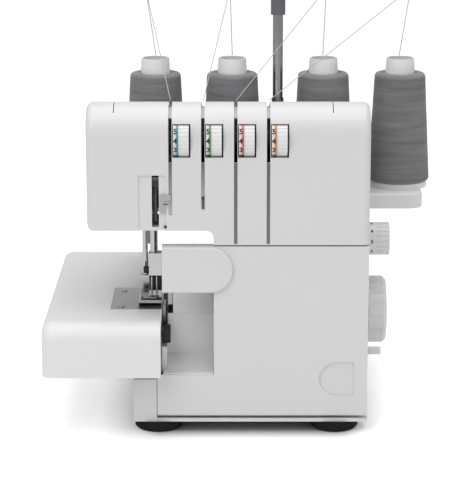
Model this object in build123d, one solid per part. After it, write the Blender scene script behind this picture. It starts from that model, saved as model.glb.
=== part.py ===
from build123d import *
import math
import os

# A four-thread overlock sewing machine with its thread stand, built as separate pieces.
# Millimetres. X runs to the right, Y to the back and Z up. While it is being built the front
# face of the housing is y = 0 and the table is z = 0; the finished pieces are then moved so
# that the origin lies under the middle of the whole machine.

# Walls, seams and fits
WALL = 3.0
SEAM = 1.2
RUN_FIT = 0.05
PASS_GAP = 0.5
CUT_OVER = 1.0
ON_PLANE = 0.01
NEAR_PLACE = 0.1

# Housing
HEAD_LEFT = -127.0
TOWER_LEFT = -17.0
BODY_RIGHT = 119.0
BODY_TOP = 292.0
HEAD_BOTTOM = 183.0
SEAM_HEIGHT = 170.2
HEAD_DEPTH = 145.0
TOWER_LOW_FRONT = 45.0
TOP_FRONT_RADIUS = 25.0
TOP_BACK_RADIUS = 12.0
TOP_FALL = 0.25
TOWER_OPENING_TOP = 126.0
SLIT_PLACES = (-103.0, 86.5)
SLIT_WIDTH = 0.7
SLIT_FRONT = 8.0
SLIT_BACK = 27.0
END_RADIUS = 6.0
THROAT_RADIUS = 7.0
BASE_LEFT = -88.0
BASE_DEPTH = 240.0
BASE_BOTTOM = 9.0
BASE_TOP = 48.0
BED_TOP = 105.0
DECK_LEFT = -60.0
LOW_FRONT_TOP = 26.0
HEAD_RECESS_LEFT = -82.0
HEAD_RECESS_RIGHT = -55.0
HEAD_RECESS_TOP = 232.0
PANEL_DEPTH = 1.2
BAR_SLOT_LEFT = -70.3
BAR_SLOT_RIGHT = -64.2
BAR_OPENING_SIDE = 4.0
BAR_OPENING_FRONT = 9.0
BAR_OPENING_BACK = 6.0
VENT_COUNT = 6
VENT_PITCH = 9.0
VENT_WIDTH = 60.0
VENT_HEIGHT = 3.0
VENT_LOW = 197.0
COVER_SCREW_RADIUS = 3.5
COVER_SCREW_HEAD = 1.5
COVER_SCREW_INSET = 14.0

# Feet
FOOT_RADIUS = 21.0
FOOT_INSET = 17.0
FOOT_LEFT_X = -66.5
FOOT_RIGHT_X = 90.5
FOOT_CHAMFER = 2.0

# Cloth plate, needle plate and free arm
PLATE_LEFT = -167.0
PLATE_RIGHT = -63.0
PLATE_FRONT = -25.0
PLATE_BOTTOM = 57.0
PLATE_FRONT_RADIUS = 16.0
PLATE_CORNER_RADIUS = 9.0
NEEDLE_PLATE_LEFT = -109.0
NEEDLE_PLATE_FRONT = 27.0
NEEDLE_PLATE_BACK = 102.0
NEEDLE_PLATE_FIT = 0.2
FREE_ARM_BACK = 135.0
FREE_ARM_FRONT = 2.0
PLATE_SCREW_RADIUS = 3.0
PLATE_SCREW_HEAD = 0.8
PLATE_SCREW_INSET = 9.0
PLATE_SCREW_BACK_INSET = 12.0
ARM_STEP_GAP = 1.0
FEED_POCKET_FRONT = 50.0
FEED_POCKET_BACK = 93.0
FEED_POCKET_LEFT = -85.0
FEED_POCKET_RIGHT = -66.0
FEED_POCKET_FLOOR = 80.0
FEED_ROWS = (-81.5, -75.5, -69.5)
FEED_ROW_WIDTH = 3.0
FEED_FRONT = 68.5
FEED_BACK = 90.0
FEED_SIDE_GAP = 0.6
FEED_BASE_TOP = 99.0
FEED_BELOW_BED = 0.4
FEED_FLOOR_GAP = 4.0
FEED_TEETH = 8
TOOTH_DEPTH = 1.0
FEED_POST_RADIUS = 2.0
FEED_POST_IN = 8.0
FEED_POST_SPARE = 4.0
NEEDLE_SLOT_HALF = 2.0
NEEDLE_SLOT_GAP = 1.2

# Front cover over the loopers
COVER_LEFT = -67.0
COVER_WALL = 2.5
COVER_FLANGE = 11.0
COVER_HINGE_Y = 5.5
COVER_HINGE_Z = 18.5
COVER_FOOT_DROP = 4.5
COVER_FOOT_ROUND = 2.2
COVER_KNUCKLE_RADIUS = 3.0
COVER_KNUCKLE_LENGTH = 20.0
COVER_SLIDE = 8.0
HINGE_ROD_RADIUS = 1.5
PAN_STEP_BACK = 6.5
POCKET_TOP = 128.0
POCKET_BOTTOM = 52.0
NOSE_RIGHT = 0.0
NOSE_STAND = 4.0
RECESS_X = 107.0
RECESS_Z = 48.5
RECESS_RADIUS = 15.5
RECESS_LENGTH = 31.0
RECESS_DEPTH = 1.5
EAR_WIDTH = 4.0
EAR_RADIUS = 2.7
COVER_SIDE_GAP = 0.3
EAR_LEFT_GAP = 8.0
EAR_RIGHT_GAP = 10.0
FLANGE_RISE = 10.0
KNUCKLE_INSET = 3.0
NOSE_EDGE = 1.5
NOSE_PLATE_GAP = 1.0
CHUTE_BACK = 40.0
CHUTE_WALL = 2.0
CHUTE_HIGH = 62.0
CHUTE_PLATE_GAP = 4.6
CHUTE_LIP_DROP = 1.0
CHUTE_TOP_DROP = 30.0
CHUTE_TAB_DROP = 45.0

# Thread slots and tension dials
SLOT_FIRST = -54.2
SLOT_PITCH = 28.3
SLOT_COUNT = 4
SLOT_WIDTH = 3.0
SLOT_BOTTOM = 243.0
SLOT_BACK = 100.0
CHANNEL_DEPTH = 5.0
CHANNEL_WALL = 1.0
CHANNEL_LOW_ANGLE = 42.0
CHANNEL_HIGH_ANGLE = 100.0
GROOVE_DEPTH = 1.2
GROOVE_ENDS = (197.0, 202.0, 171.0, 171.0)
WINDOW_OFFSET = 9.8
WINDOW_WIDTH = 15.6
WINDOW_BOTTOM = 247.5
WINDOW_TOP = 279.5
DIAL_RADIUS = 17.5
DIAL_WIDTH = 14.0
DIAL_Y = 13.5
DIAL_Z = 262.7
DIAL_RIBS = 30
DIAL_RIB_DEPTH = 0.6
DIAL_RIB_HALF = 0.7
DIAL_STRIPE = 4.5
SPINDLE_RADIUS = 2.5
DISC_RADIUS = 9.0
DISC_THICK = 0.8
DISC_SPACE = 1.0
DIAL_SIDE_GAP = 0.25
DIAL_CLEAR = 0.5
SPINDLE_EAR_LEFT = 9.0
SPINDLE_EAR_RIGHT = 24.0
SPINDLE_EAR_WIDTH = 4.0
SPINDLE_EAR_FRONT = 5.0
SPINDLE_EAR_HALF = 6.0
GUIDE_PLATE_LEFT = -63.6
GUIDE_PLATE_RIGHT = -53.4
GUIDE_PLATE_LOW = 199.0
GUIDE_PLATE_HIGH = 215.0
GUIDE_PLATE_THICK = 0.8
GUIDE_TAB = 3.0
GUIDE_HOOK = 5.0
GUIDE_SCREW_RADIUS = 2.2
GUIDE_SCREW_HEAD = 1.0
TAKE_UP_LOW = 190.0
TAKE_UP_HIGH = 226.0
TAKE_UP_BAR_TOP = 230.0
TAKE_UP_Y = 9.0
TAKE_UP_RADIUS = 1.8
TAKE_UP_BAR_HALF = 2.8
TOP_GUIDE_GAP = 1.0
TOP_GUIDE_HALF = 6.0
TOP_GUIDE_DEPTH = 5.0
TOP_GUIDE_THICK = 1.2
TOP_GUIDE_HOOK = 3.0
TOP_GUIDE_HEIGHT = 2.4

# Needle bar and presser bar
NEEDLE_X = -71.2
NEEDLE_Y = 62.0
NEEDLE_BAR_RADIUS = 3.5
NEEDLE_BAR_TOP = 250.0
NEEDLE_SPACING = 4.4
NEEDLE_RADIUS = 0.8
NEEDLE_TIP = 106.0
CLAMP_BOTTOM = 127.0
CLAMP_TOP = 149.0
CLAMP_WIDTH = 12.0
CLAMP_SCREW_RADIUS = 3.2
CLAMP_SCREW_LENGTH = 5.0
PRESSER_X = -79.5
PRESSER_Y = 71.0
PRESSER_BAR_RADIUS = 2.5
PRESSER_BAR_TOP = 238.0
ANKLE_TOP = 126.0
ANKLE_BOTTOM = 111.0
FOOT_SOLE = 2.5
FOOT_FRONT = 36.0
FOOT_BACK = 88.0
FOOT_LIFT_GAP = 0.3
GUIDE_BLOCK_BOTTOM = 205.0
GUIDE_BLOCK_TOP = 228.0
LEVER_PIVOT_Y = 96.0
LEVER_PIVOT_Z = 175.0
LEVER_LENGTH = 46.0
LEVER_REST = -45.0
NEEDLE_POINT = 4.0
NEEDLE_TIP_RADIUS = 0.1
CLAMP_EDGE = 1.5
CLAMP_LEFT_REACH = 4.4
CLAMP_RIGHT_EXTRA = 1.0
CLAMP_SCREW_RISE = 6.0
CLAMP_SCREW_FORWARD = 2.0
CLAMP_SCREW_STEP = 3.0
ANKLE_HALF = 4.0
ANKLE_NEEDLE_GAP = 4.9
ANKLE_DEPTH_HALF = 5.0
FOOT_LEFT_REACH = 5.0
FOOT_RIGHT_REACH = 7.0
FOOT_POST_HALF = 4.0
TOE_RISE = 3.0
TOE_LENGTH = 7.0
TOE_TOP_LENGTH = 8.0
GUIDE_BLOCK_LEFT = -86.0
GUIDE_BLOCK_RIGHT = -62.0
GUIDE_BLOCK_FRONT = 54.0
LEVER_WIDTH = 8.0
LEVER_THICK = 5.0
LEVER_HUB_RADIUS = 4.0
LEVER_PIN_RADIUS = 2.0
LEVER_EAR = 4.0
LEVER_BRACKET_HALF = 5.0
LEVER_SIDE_GAP = 0.3
LEVER_WEB = 2.0

# Inner frame and drive
FRAME_FRONT = 96.0
FRAME_THICK = 12.0
FRAME_RIGHT = 88.0
FRAME_LOW_LEFT = -58.0
FRAME_COLUMN_LEFT = -12.0
FRAME_ARM_LEFT = -110.0
FRAME_ARM_BOTTOM = 192.0
FRAME_ARM_TOP = 266.0
SHAFT_Y = 80.0
SHAFT_Z = 91.0
SHAFT_RADIUS = 5.0
SHAFT_LEFT = 28.0
BUSH_WALL = 2.0
BUSH_LENGTH = 10.0
BEARING_X = (34.0, 72.0)
PULLEY_RADIUS = 24.0
PULLEY_X = 96.0
PULLEY_WIDTH = 8.0
MOTOR_Y = 192.0
MOTOR_Z = 44.0
MOTOR_RADIUS = 27.0
MOTOR_LEFT = 6.0
MOTOR_RIGHT = 88.0
MOTOR_SHAFT_RADIUS = 3.0
MOTOR_PULLEY_RADIUS = 8.0
BELT_THICK = 1.6
BELT_SEAT = 0.2
WHEEL_RADIUS = 30.5
WHEEL_WIDTH = 19.0
WHEEL_GRIPS = 16
FRAME_BED_GAP = 1.0
FRAME_WINDOWS = ((0.0, 76.0, 112.0, 186.0), (-40.0, 40.0, 202.0, 246.0))
FRAME_FLANGE_THICK = 8.0
FRAME_FLANGE_FRONT = 22.0
FRAME_FLANGE_BACK = 20.0
BEARING_HALF = 14.0
SHAFT_END_IN = 4.0
PULLEY_FLANGE = 2.0
MOTOR_FOOT_INSET = 10.0
ROTOR_END_GAP = 1.0
ROTOR_OUT = 2.0
BELT_SIDE_GAP = 1.0
WHEEL_GAP = 1.0
WHEEL_CROWN = 3.0
WHEEL_DISH = 4.0
WHEEL_DISH_SHARE = 0.72
WHEEL_HUB_SHARE = 0.3
WHEEL_HUB_STEP = 1.0
GRIP_RADIUS = 2.2

# Loopers and knives
LOOPER_SHAFT_RADIUS = 4.0
LOOPER_SHAFT_OUT = 3.0
LOOPER_HUB_WALL = 4.0
LOOPER_SLIM_SHARE = 0.6
LOOPER_THICK = 4.0
UPPER_LOOPER_X = 4.0
UPPER_LOOPER_Z = 72.0
UPPER_LOOPER_TIP = (-44.0, 112.0)
UPPER_LOOPER_FRONT = 72.0
UPPER_LOOPER_BOW = 8.0
LOWER_LOOPER_X = -8.0
LOWER_LOOPER_Z = 42.0
LOWER_LOOPER_TIP = (-48.0, 88.0)
LOWER_LOOPER_FRONT = 64.0
LOWER_LOOPER_BOW = 6.0
KNIFE_Y = 44.0
KNIFE_Z = 96.0
KNIFE_ROD_RADIUS = 2.0
KNIFE_ROD_IN = 12.0
KNIFE_ROD_SPARE = 3.0
KNIFE_PIVOT_Y = 86.0
KNIFE_PIVOT_Z = 62.0
KNIFE_BOSS_LEFT = -50.0
KNIFE_BOSS_RIGHT = -40.0
KNIFE_BOSS_HALF = 8.0
KNIFE_HUB_RADIUS = 9.0
KNIFE_SHAFT_OUT = 2.0
KNIFE_ROOT_POINTS = ((-9.0, 5.0), (5.0, 8.0))
KNIFE_BLADE_POINTS = ((18.0, 12.0), (-4.0, 12.0), (-4.0, 1.0), (10.0, -3.0))
BLADE_THICK = 2.0
BLADE_PLATE_GAP = 0.6
BLADE_FRONT = 6.0
BLADE_BACK = 16.0
BLADE_DROP = 6.0
BLADE_SPACE = 2.2
UPPER_BLADE_THICK = 4.0
KNOB_Y = 22.0
KNOB_Z = 84.0
KNOB_RADIUS = 8.3
KNOB_LENGTH = 7.0
KNOB_GRIPS = 18
KNOB_GRIP_RADIUS = 0.8
KNOB_STEM_RADIUS = 3.0
KNOB_STEM_IN = 8.0
KNOB_STEM_SPARE = 1.0

# Controls on the right side
LENGTH_DIAL_Y = 60.0
LENGTH_DIAL_Z = 162.0
LENGTH_DIAL_RADIUS = 14.8
LENGTH_DIAL_WIDTH = 21.0
LENGTH_DIAL_GRIPS = 20
FEED_LEVER_Y = 30.0
FEED_LEVER_Z = 90.0
FEED_LEVER_REACH = 24.0
FEED_LEVER_SWING = 20.0
FEED_PIN_RADIUS = 3.6
FEED_PIN_OUT = 13.0
SWITCH_Y = 176.0
SWITCH_Z = 78.0
SWITCH_WIDTH = 14.0
SWITCH_HEIGHT = 22.0
INLET_Y = 212.0
LENGTH_DIAL_GAP = 1.0
LENGTH_DIAL_SKIRT = 9.0
LENGTH_GRIP_OUT = 0.5
LENGTH_GRIP_RADIUS = 1.3
DIAL_STEM_RADIUS = 3.0
DIAL_STEM_IN = 10.0
FEED_STUD_RADIUS = 3.0
FEED_STUD_OUT = 2.0
FEED_ARM_THICK = 4.0
FEED_ARM_GAP = 1.0
FEED_ARM_HALF = 4.0
FEED_HUB_RADIUS = 6.0
SWITCH_GAP = 0.4
SWITCH_PIN_RADIUS = 1.5
SWITCH_PIN_INSET = 1.0
PIN_HOLE_INSET = 0.8
ROCKER_RADIUS = 13.0
ROCKER_IN = 8.0
ROCKER_BACK = 4.0
ROCKER_HALF = 8.0
BEZEL_IN = 6.0
BEZEL_OUT = 1.0
BEZEL_LIP = 1.5
INLET_WIDTH = 26.0
INLET_HEIGHT = 20.0
INLET_LIP = 3.0
INLET_IN = 14.0
INLET_OUT = 1.5
INLET_SOCKET_IN = 11.0
INLET_PIN_SPREAD = 4.0
INLET_PIN_ROOT = 12.0
INLET_PIN_SHORT = 2.0
INLET_PIN_RADIUS = 1.2

# Thread stand
STAND_X = 42.3
STAND_Y = 190.0
TRAY_HALF = 136.3
TRAY_FRONT = 150.0
TRAY_BACK = 230.0
TRAY_BOTTOM = 169.0
TRAY_TOP = 183.5
POST_WIDTH = 40.0
POST_DEPTH = 34.0
CONE_OFFSETS = (-115.5, -43.0, 43.0, 115.5)
EYE_OFFSETS = (-124.0, -45.0, 45.0, 124.0)
SEAT_RADIUS = 27.0
SEAT_TOP = 189.0
PIN_RADIUS = 3.0
PIN_TOP = 296.0
CONE_RADIUS = 29.2
CONE_TOP_RADIUS = 24.0
CONE_TOP = 292.0
CONE_EDGE = 3.0
CORE_RADIUS = 21.0
CORE_TOP_RADIUS = 13.0
CORE_TOP = 306.0
CORE_WALL = 1.6
MAST_RADIUS = 4.8
MAST_WALL = 0.9
MAST_COLLAR_TOP = 268.0
MAST_TOP = 347.0
MAST_TRAVEL = 55.0
BAR_BOTTOM = 372.0
BAR_THICK = 4.0
BAR_DEPTH = 13.0
EYE_RADIUS = 2.5
THREAD_RADIUS = 0.25
THREAD_END = 0.4
THREAD_LAND_Y = 27.0
THREAD_SPREAD = 1.0
POST_TAPER = 4.0
TRAY_CORNER = 14.0
TRAY_EDGE = 2.5
MAST_INNER_RISE = 10.0
BAR_END_FLAT = 0.1
BAR_HUB_WALL = 2.0
EYE_MARGIN = 7.0

pieces = {}


def block(x0, x1, y0, y1, z0, z1):
    """A box given by its two ends along each axis."""
    return Pos((x0 + x1) / 2, (y0 + y1) / 2, (z0 + z1) / 2) * Box(x1 - x0, y1 - y0, z1 - z0)


def rod_x(x0, x1, y, z, radius):
    return Pos((x0 + x1) / 2, y, z) * Rot(0, 90, 0) * Cylinder(radius, x1 - x0)


def rod_y(y0, y1, x, z, radius):
    return Pos(x, (y0 + y1) / 2, z) * Rot(90, 0, 0) * Cylinder(radius, y1 - y0)


def rod_z(z0, z1, x, y, radius):
    return Pos(x, y, (z0 + z1) / 2) * Cylinder(radius, z1 - z0)


def outline(points):
    return make_face(Polyline(*points, close=True))


def prism_x(face, x0, x1):
    """Extrude a face drawn in (y, z) from x0 to x1."""
    return extrude(Plane.YZ.offset(x0) * face, x1 - x0)


def prism_y(face, y0, y1):
    """Extrude a face drawn in (x, z) from y0 to y1."""
    return extrude(Plane.XZ.offset(-y1) * face, y1 - y0)


def edges_on(solid, axis, place):
    """The edges of a solid that lie wholly in the plane axis = place."""
    return solid.edges().filter_by_position(axis, place - ON_PLANE, place + ON_PLANE)


def top_edge(solid, place):
    """The highest edge along X: the front one for place 0, the back one for -1."""
    return solid.edges().filter_by(Axis.X).group_by(Axis.Z)[-1].sort_by(Axis.Y)[place]


def back_top_edge(solid):
    """The highest edge along X on the back face."""
    return solid.edges().filter_by(Axis.X).group_by(Axis.Y)[-1].sort_by(Axis.Z)[-1]


def top_height(y):
    """Height of the sloping top of the housing at depth y, behind its rounded front edge."""
    crest = BODY_TOP - TOP_FRONT_RADIUS * (1 - TOP_FALL - math.hypot(1, TOP_FALL))
    return crest - TOP_FALL * y


def slot_x(index):
    return SLOT_FIRST + index * SLOT_PITCH


def dial_left(index):
    return slot_x(index) + WINDOW_OFFSET - DIAL_WIDTH / 2


# Base pan: shallow moulded tray with a sill under the looper cover, a cheek at its left and two hinge ears
pan_step = COVER_HINGE_Y + PAN_STEP_BACK
pan_floor = BASE_BOTTOM + WALL
pan = block(BASE_LEFT, BODY_RIGHT, pan_step, BASE_DEPTH, BASE_BOTTOM, BASE_TOP)
pan -= block(BASE_LEFT + WALL, BODY_RIGHT - WALL, pan_step + WALL, BASE_DEPTH - WALL, pan_floor, BASE_TOP)
cheek_right = COVER_LEFT - PASS_GAP
pan -= block(BASE_LEFT + WALL, cheek_right - WALL, pan_step, pan_step + WALL, pan_floor, BASE_TOP)
cheek = block(BASE_LEFT, cheek_right, 0, pan_step, BASE_BOTTOM, BASE_TOP)
cheek -= block(BASE_LEFT + WALL, cheek_right - WALL, WALL, pan_step, pan_floor, BASE_TOP)
sill = block(cheek_right, BODY_RIGHT, 0, pan_step, BASE_BOTTOM, pan_floor)
pan -= block(COVER_LEFT + WALL, BODY_RIGHT - WALL, 0, pan_step + WALL, LOW_FRONT_TOP, BASE_TOP)
ear_places = (COVER_LEFT + COVER_KNUCKLE_LENGTH + COVER_SLIDE + EAR_LEFT_GAP,
              BODY_RIGHT - COVER_KNUCKLE_LENGTH - EAR_RIGHT_GAP)
ears = []
for ear_x in ear_places:
    ear = rod_x(ear_x, ear_x + EAR_WIDTH, COVER_HINGE_Y, COVER_HINGE_Z, EAR_RADIUS)
    ear += block(ear_x, ear_x + EAR_WIDTH, COVER_HINGE_Y, pan_step, COVER_HINGE_Z - EAR_RADIUS,
                 COVER_HINGE_Z + EAR_RADIUS)
    ears.append(ear - rod_x(ear_x - CUT_OVER, ear_x + EAR_WIDTH + CUT_OVER, COVER_HINGE_Y, COVER_HINGE_Z,
                            HINGE_ROD_RADIUS + RUN_FIT))
pieces["base_pan"] = [pan, cheek, sill] + ears

# Feet: four soft rubber discs under the corners of the pan
feet = []
for foot_x in (FOOT_LEFT_X, FOOT_RIGHT_X):
    for foot_y in (FOOT_INSET, BASE_DEPTH - FOOT_INSET - FOOT_RADIUS / 2):
        foot = rod_z(0, BASE_BOTTOM, foot_x, foot_y, FOOT_RADIUS)
        feet.append(chamfer(edges_on(foot, Axis.Z, 0), FOOT_CHAMFER))
pieces["foot_pads"] = feet

# Upper cover: one moulded shell for the head and the top of the tower
shell_face = outline([(0, SEAM_HEIGHT), (0, top_height(0)), (HEAD_DEPTH, top_height(HEAD_DEPTH)),
                      (HEAD_DEPTH, SEAM_HEIGHT)])
shell = prism_x(shell_face, HEAD_LEFT, BODY_RIGHT)
shell = fillet(top_edge(shell, 0), TOP_FRONT_RADIUS)
shell = fillet(back_top_edge(shell), TOP_BACK_RADIUS)
shell -= block(HEAD_LEFT, TOWER_LEFT, 0, HEAD_DEPTH, SEAM_HEIGHT, HEAD_BOTTOM)
throat_corner = [e for e in shell.edges().filter_by(Axis.Y) if abs(e.center().X - TOWER_LEFT) < NEAR_PLACE
                 and abs(e.center().Z - HEAD_BOTTOM) < NEAR_PLACE]
shell = fillet(throat_corner, THROAT_RADIUS)
left_edges = [e for e in edges_on(shell, Axis.X, HEAD_LEFT) if e.center().Y < HEAD_DEPTH - NEAR_PLACE]
shell = fillet(left_edges, END_RADIUS)
right_edges = [e for e in edges_on(shell, Axis.X, BODY_RIGHT)
               if e.center().Y < HEAD_DEPTH - NEAR_PLACE and e.center().Z > SEAM_HEIGHT + NEAR_PLACE]
shell = fillet(right_edges, END_RADIUS)
wall_drop = WALL * math.hypot(1, TOP_FALL)
cavity_face = outline([(WALL, SEAM_HEIGHT), (WALL, top_height(WALL) - wall_drop),
                       (HEAD_DEPTH, top_height(HEAD_DEPTH) - wall_drop), (HEAD_DEPTH, SEAM_HEIGHT)])
cavity = prism_x(cavity_face, HEAD_LEFT + WALL, BODY_RIGHT - WALL)
cavity = fillet(top_edge(cavity, 0), TOP_FRONT_RADIUS - WALL)
cavity = fillet(back_top_edge(cavity), TOP_BACK_RADIUS - WALL)
cavity -= block(HEAD_LEFT, TOWER_LEFT + WALL, 0, HEAD_DEPTH, SEAM_HEIGHT, HEAD_BOTTOM + WALL)
shell -= cavity
tower_right = BODY_RIGHT - WALL
shell += block(TOWER_LEFT, TOWER_LEFT + WALL, TOWER_LOW_FRONT, HEAD_DEPTH, TOWER_OPENING_TOP,
               HEAD_BOTTOM - THROAT_RADIUS)
channel_radius = TOP_FRONT_RADIUS - CHANNEL_DEPTH
round_centre = Pos(TOP_FRONT_RADIUS, BODY_TOP - TOP_FRONT_RADIUS)
channel_ring = Circle(TOP_FRONT_RADIUS - WALL / 2) - Circle(channel_radius - CHANNEL_WALL)
sweep_far = 2 * TOP_FRONT_RADIUS
wedge_ends = [(-sweep_far * math.cos(math.radians(angle)), sweep_far * math.sin(math.radians(angle)))
              for angle in (CHANNEL_LOW_ANGLE, CHANNEL_HIGH_ANGLE)]
channel_wedge = outline([(0, 0)] + wedge_ends)
channel_face = round_centre * (channel_ring & channel_wedge)
for index in range(SLOT_COUNT):
    half = SLOT_WIDTH / 2
    x = slot_x(index)
    shell += prism_x(channel_face, x - half - CHANNEL_WALL, x + half + CHANNEL_WALL)
    slot_cut = block(x - half, x + half, -CUT_OVER, SLOT_BACK, SLOT_BOTTOM, BODY_TOP + CUT_OVER)
    shell -= slot_cut - prism_x(round_centre * Circle(channel_radius), x - half, x + half)
    shell -= block(x - half, x + half, -CUT_OVER, GROOVE_DEPTH, GROOVE_ENDS[index], SLOT_BOTTOM)
    middle = x + WINDOW_OFFSET
    shell -= block(middle - WINDOW_WIDTH / 2, middle + WINDOW_WIDTH / 2, -CUT_OVER, DIAL_Y, WINDOW_BOTTOM,
                   WINDOW_TOP)
    shell -= rod_x(dial_left(index) - DIAL_SIDE_GAP, dial_left(index) + DIAL_WIDTH + DIAL_SIDE_GAP, DIAL_Y,
                   DIAL_Z, DIAL_RADIUS + DIAL_CLEAR)
shell -= block(HEAD_RECESS_LEFT, HEAD_RECESS_RIGHT - SLOT_WIDTH, -CUT_OVER, PANEL_DEPTH,
               HEAD_BOTTOM - CUT_OVER, HEAD_RECESS_TOP)
shell -= block(BAR_SLOT_LEFT, BAR_SLOT_RIGHT, -CUT_OVER, WALL + CUT_OVER, HEAD_BOTTOM + WALL, HEAD_RECESS_TOP)
underside_left = PRESSER_X - PRESSER_BAR_RADIUS - BAR_OPENING_SIDE
underside_right = NEEDLE_X + NEEDLE_BAR_RADIUS + BAR_OPENING_SIDE
shell -= block(underside_left, underside_right, NEEDLE_Y - BAR_OPENING_FRONT, PRESSER_Y + BAR_OPENING_BACK,
               HEAD_BOTTOM - CUT_OVER, HEAD_BOTTOM + WALL + CUT_OVER)
for slit_x in SLIT_PLACES:
    shell -= block(slit_x - SLIT_WIDTH / 2, slit_x + SLIT_WIDTH / 2, SLIT_FRONT, SLIT_BACK, DIAL_Z,
                   BODY_TOP + CUT_OVER)
pieces["upper_cover"] = shell

# Rear cover: back panel of head and tower in one with the low deck that carries the thread stand
panel_top = top_height(HEAD_DEPTH) - TOP_BACK_RADIUS * (math.hypot(1, TOP_FALL) - TOP_FALL)
panel_face = outline([(HEAD_LEFT, HEAD_BOTTOM), (TOWER_LEFT, HEAD_BOTTOM), (TOWER_LEFT, BED_TOP - WALL),
                      (tower_right, BED_TOP - WALL), (tower_right, SEAM_HEIGHT), (BODY_RIGHT, SEAM_HEIGHT),
                      (BODY_RIGHT, panel_top), (HEAD_LEFT, panel_top)])
rear = prism_y(panel_face, HEAD_DEPTH, HEAD_DEPTH + WALL)
rear += block(DECK_LEFT, tower_right, HEAD_DEPTH, BASE_DEPTH, BASE_TOP, BED_TOP)
rear -= block(DECK_LEFT + WALL, tower_right, HEAD_DEPTH - CUT_OVER, BASE_DEPTH - WALL, BASE_TOP,
              BED_TOP - WALL)
rear += block(DECK_LEFT, TOWER_LEFT, FRAME_FRONT, HEAD_DEPTH, BED_TOP - WALL, BED_TOP)
for vent in range(VENT_COUNT):
    low = VENT_LOW + vent * VENT_PITCH
    rear -= block(STAND_X - VENT_WIDTH / 2, STAND_X + VENT_WIDTH / 2, HEAD_DEPTH - CUT_OVER,
                  HEAD_DEPTH + WALL + CUT_OVER, low, low + VENT_HEIGHT)
pieces["rear_cover"] = rear

# Right side cover: flat moulded panel with openings for the controls
side_face = outline([(pan_step, BASE_TOP), (BASE_DEPTH, BASE_TOP), (BASE_DEPTH, BED_TOP),
                     (HEAD_DEPTH + WALL, BED_TOP), (HEAD_DEPTH + WALL, SEAM_HEIGHT - PASS_GAP),
                     (pan_step, SEAM_HEIGHT - PASS_GAP)])
side = prism_x(side_face, tower_right, BODY_RIGHT)
side -= rod_x(tower_right - CUT_OVER, BODY_RIGHT + CUT_OVER, SHAFT_Y, SHAFT_Z, SHAFT_RADIUS + PASS_GAP)
side -= rod_x(tower_right - CUT_OVER, BODY_RIGHT + CUT_OVER, LENGTH_DIAL_Y, LENGTH_DIAL_Z,
              DIAL_STEM_RADIUS + RUN_FIT)
swing_slot = Plane.YZ.offset(tower_right - 1) * Pos(FEED_LEVER_Y, FEED_LEVER_Z) * SlotArc(
    CenterArc((0, 0), FEED_LEVER_REACH, -90 - FEED_LEVER_SWING, 2 * FEED_LEVER_SWING),
    2 * (FEED_PIN_RADIUS + PASS_GAP))
side -= extrude(swing_slot, WALL + 2 * CUT_OVER)
side += rod_x(tower_right - FEED_ARM_THICK - FEED_STUD_OUT, tower_right, FEED_LEVER_Y, FEED_LEVER_Z,
              FEED_STUD_RADIUS)
side -= block(tower_right - CUT_OVER, BODY_RIGHT + CUT_OVER, SWITCH_Y - SWITCH_WIDTH / 2,
              SWITCH_Y + SWITCH_WIDTH / 2, SWITCH_Z - SWITCH_HEIGHT / 2, SWITCH_Z + SWITCH_HEIGHT / 2)
side -= block(tower_right - CUT_OVER, BODY_RIGHT + CUT_OVER, INLET_Y - INLET_WIDTH / 2,
              INLET_Y + INLET_WIDTH / 2, SWITCH_Z - INLET_HEIGHT / 2, SWITCH_Z + INLET_HEIGHT / 2)
pieces["right_side_cover"] = side

# Cloth plate: hollow moulded bed with a well rounded front edge, open below and at its right end
bed_under = BED_TOP - WALL
plate = block(PLATE_LEFT, PLATE_RIGHT, PLATE_FRONT, BASE_DEPTH, PLATE_BOTTOM, BED_TOP)
plate = fillet(top_edge(plate, 0), PLATE_FRONT_RADIUS)
left_front = plate.edges().filter_by(Axis.Z).group_by(Axis.X)[0].sort_by(Axis.Y)[0]
plate = fillet(left_front, PLATE_CORNER_RADIUS)
hollow = block(PLATE_LEFT + WALL, PLATE_RIGHT, PLATE_FRONT + WALL, BASE_DEPTH - WALL, PLATE_BOTTOM, bed_under)
plate -= fillet(top_edge(hollow, 0), PLATE_FRONT_RADIUS - WALL)
plate -= block(NEEDLE_PLATE_LEFT, PLATE_RIGHT, NEEDLE_PLATE_FRONT, NEEDLE_PLATE_BACK, bed_under, BED_TOP)
plate -= block(BASE_LEFT - PASS_GAP, PLATE_RIGHT, BASE_DEPTH - WALL, BASE_DEPTH, PLATE_BOTTOM, bed_under)
pieces["cloth_plate"] = plate

# Free arm: aluminium casting on the pan that carries the cloth plate and the needle plate
arm_right = PLATE_RIGHT - PASS_GAP
arm_left = BASE_LEFT + WALL + PASS_GAP
arm = block(arm_left, arm_right, FREE_ARM_FRONT + WALL, FREE_ARM_BACK, pan_floor, bed_under)
arm -= block(BASE_LEFT, COVER_LEFT + WALL, 0, WALL + PASS_GAP, BASE_BOTTOM, BASE_TOP + PASS_GAP)
arm -= block(COVER_LEFT - WALL - ARM_STEP_GAP, PLATE_RIGHT, 0, pan_step + WALL + PASS_GAP, pan_floor,
             BASE_TOP + PASS_GAP)
arm -= block(FEED_POCKET_LEFT, FEED_POCKET_RIGHT, FEED_POCKET_FRONT, FEED_POCKET_BACK, FEED_POCKET_FLOOR,
             bed_under)
arm -= rod_x(arm_right - KNIFE_ROD_IN - KNIFE_ROD_SPARE, PLATE_RIGHT, KNIFE_Y, KNIFE_Z,
             KNIFE_ROD_RADIUS + RUN_FIT)
arm -= rod_x(arm_right - KNOB_STEM_IN - KNOB_STEM_SPARE, PLATE_RIGHT, KNOB_Y, KNOB_Z,
             KNOB_STEM_RADIUS + RUN_FIT)
pieces["free_arm"] = arm

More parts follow.
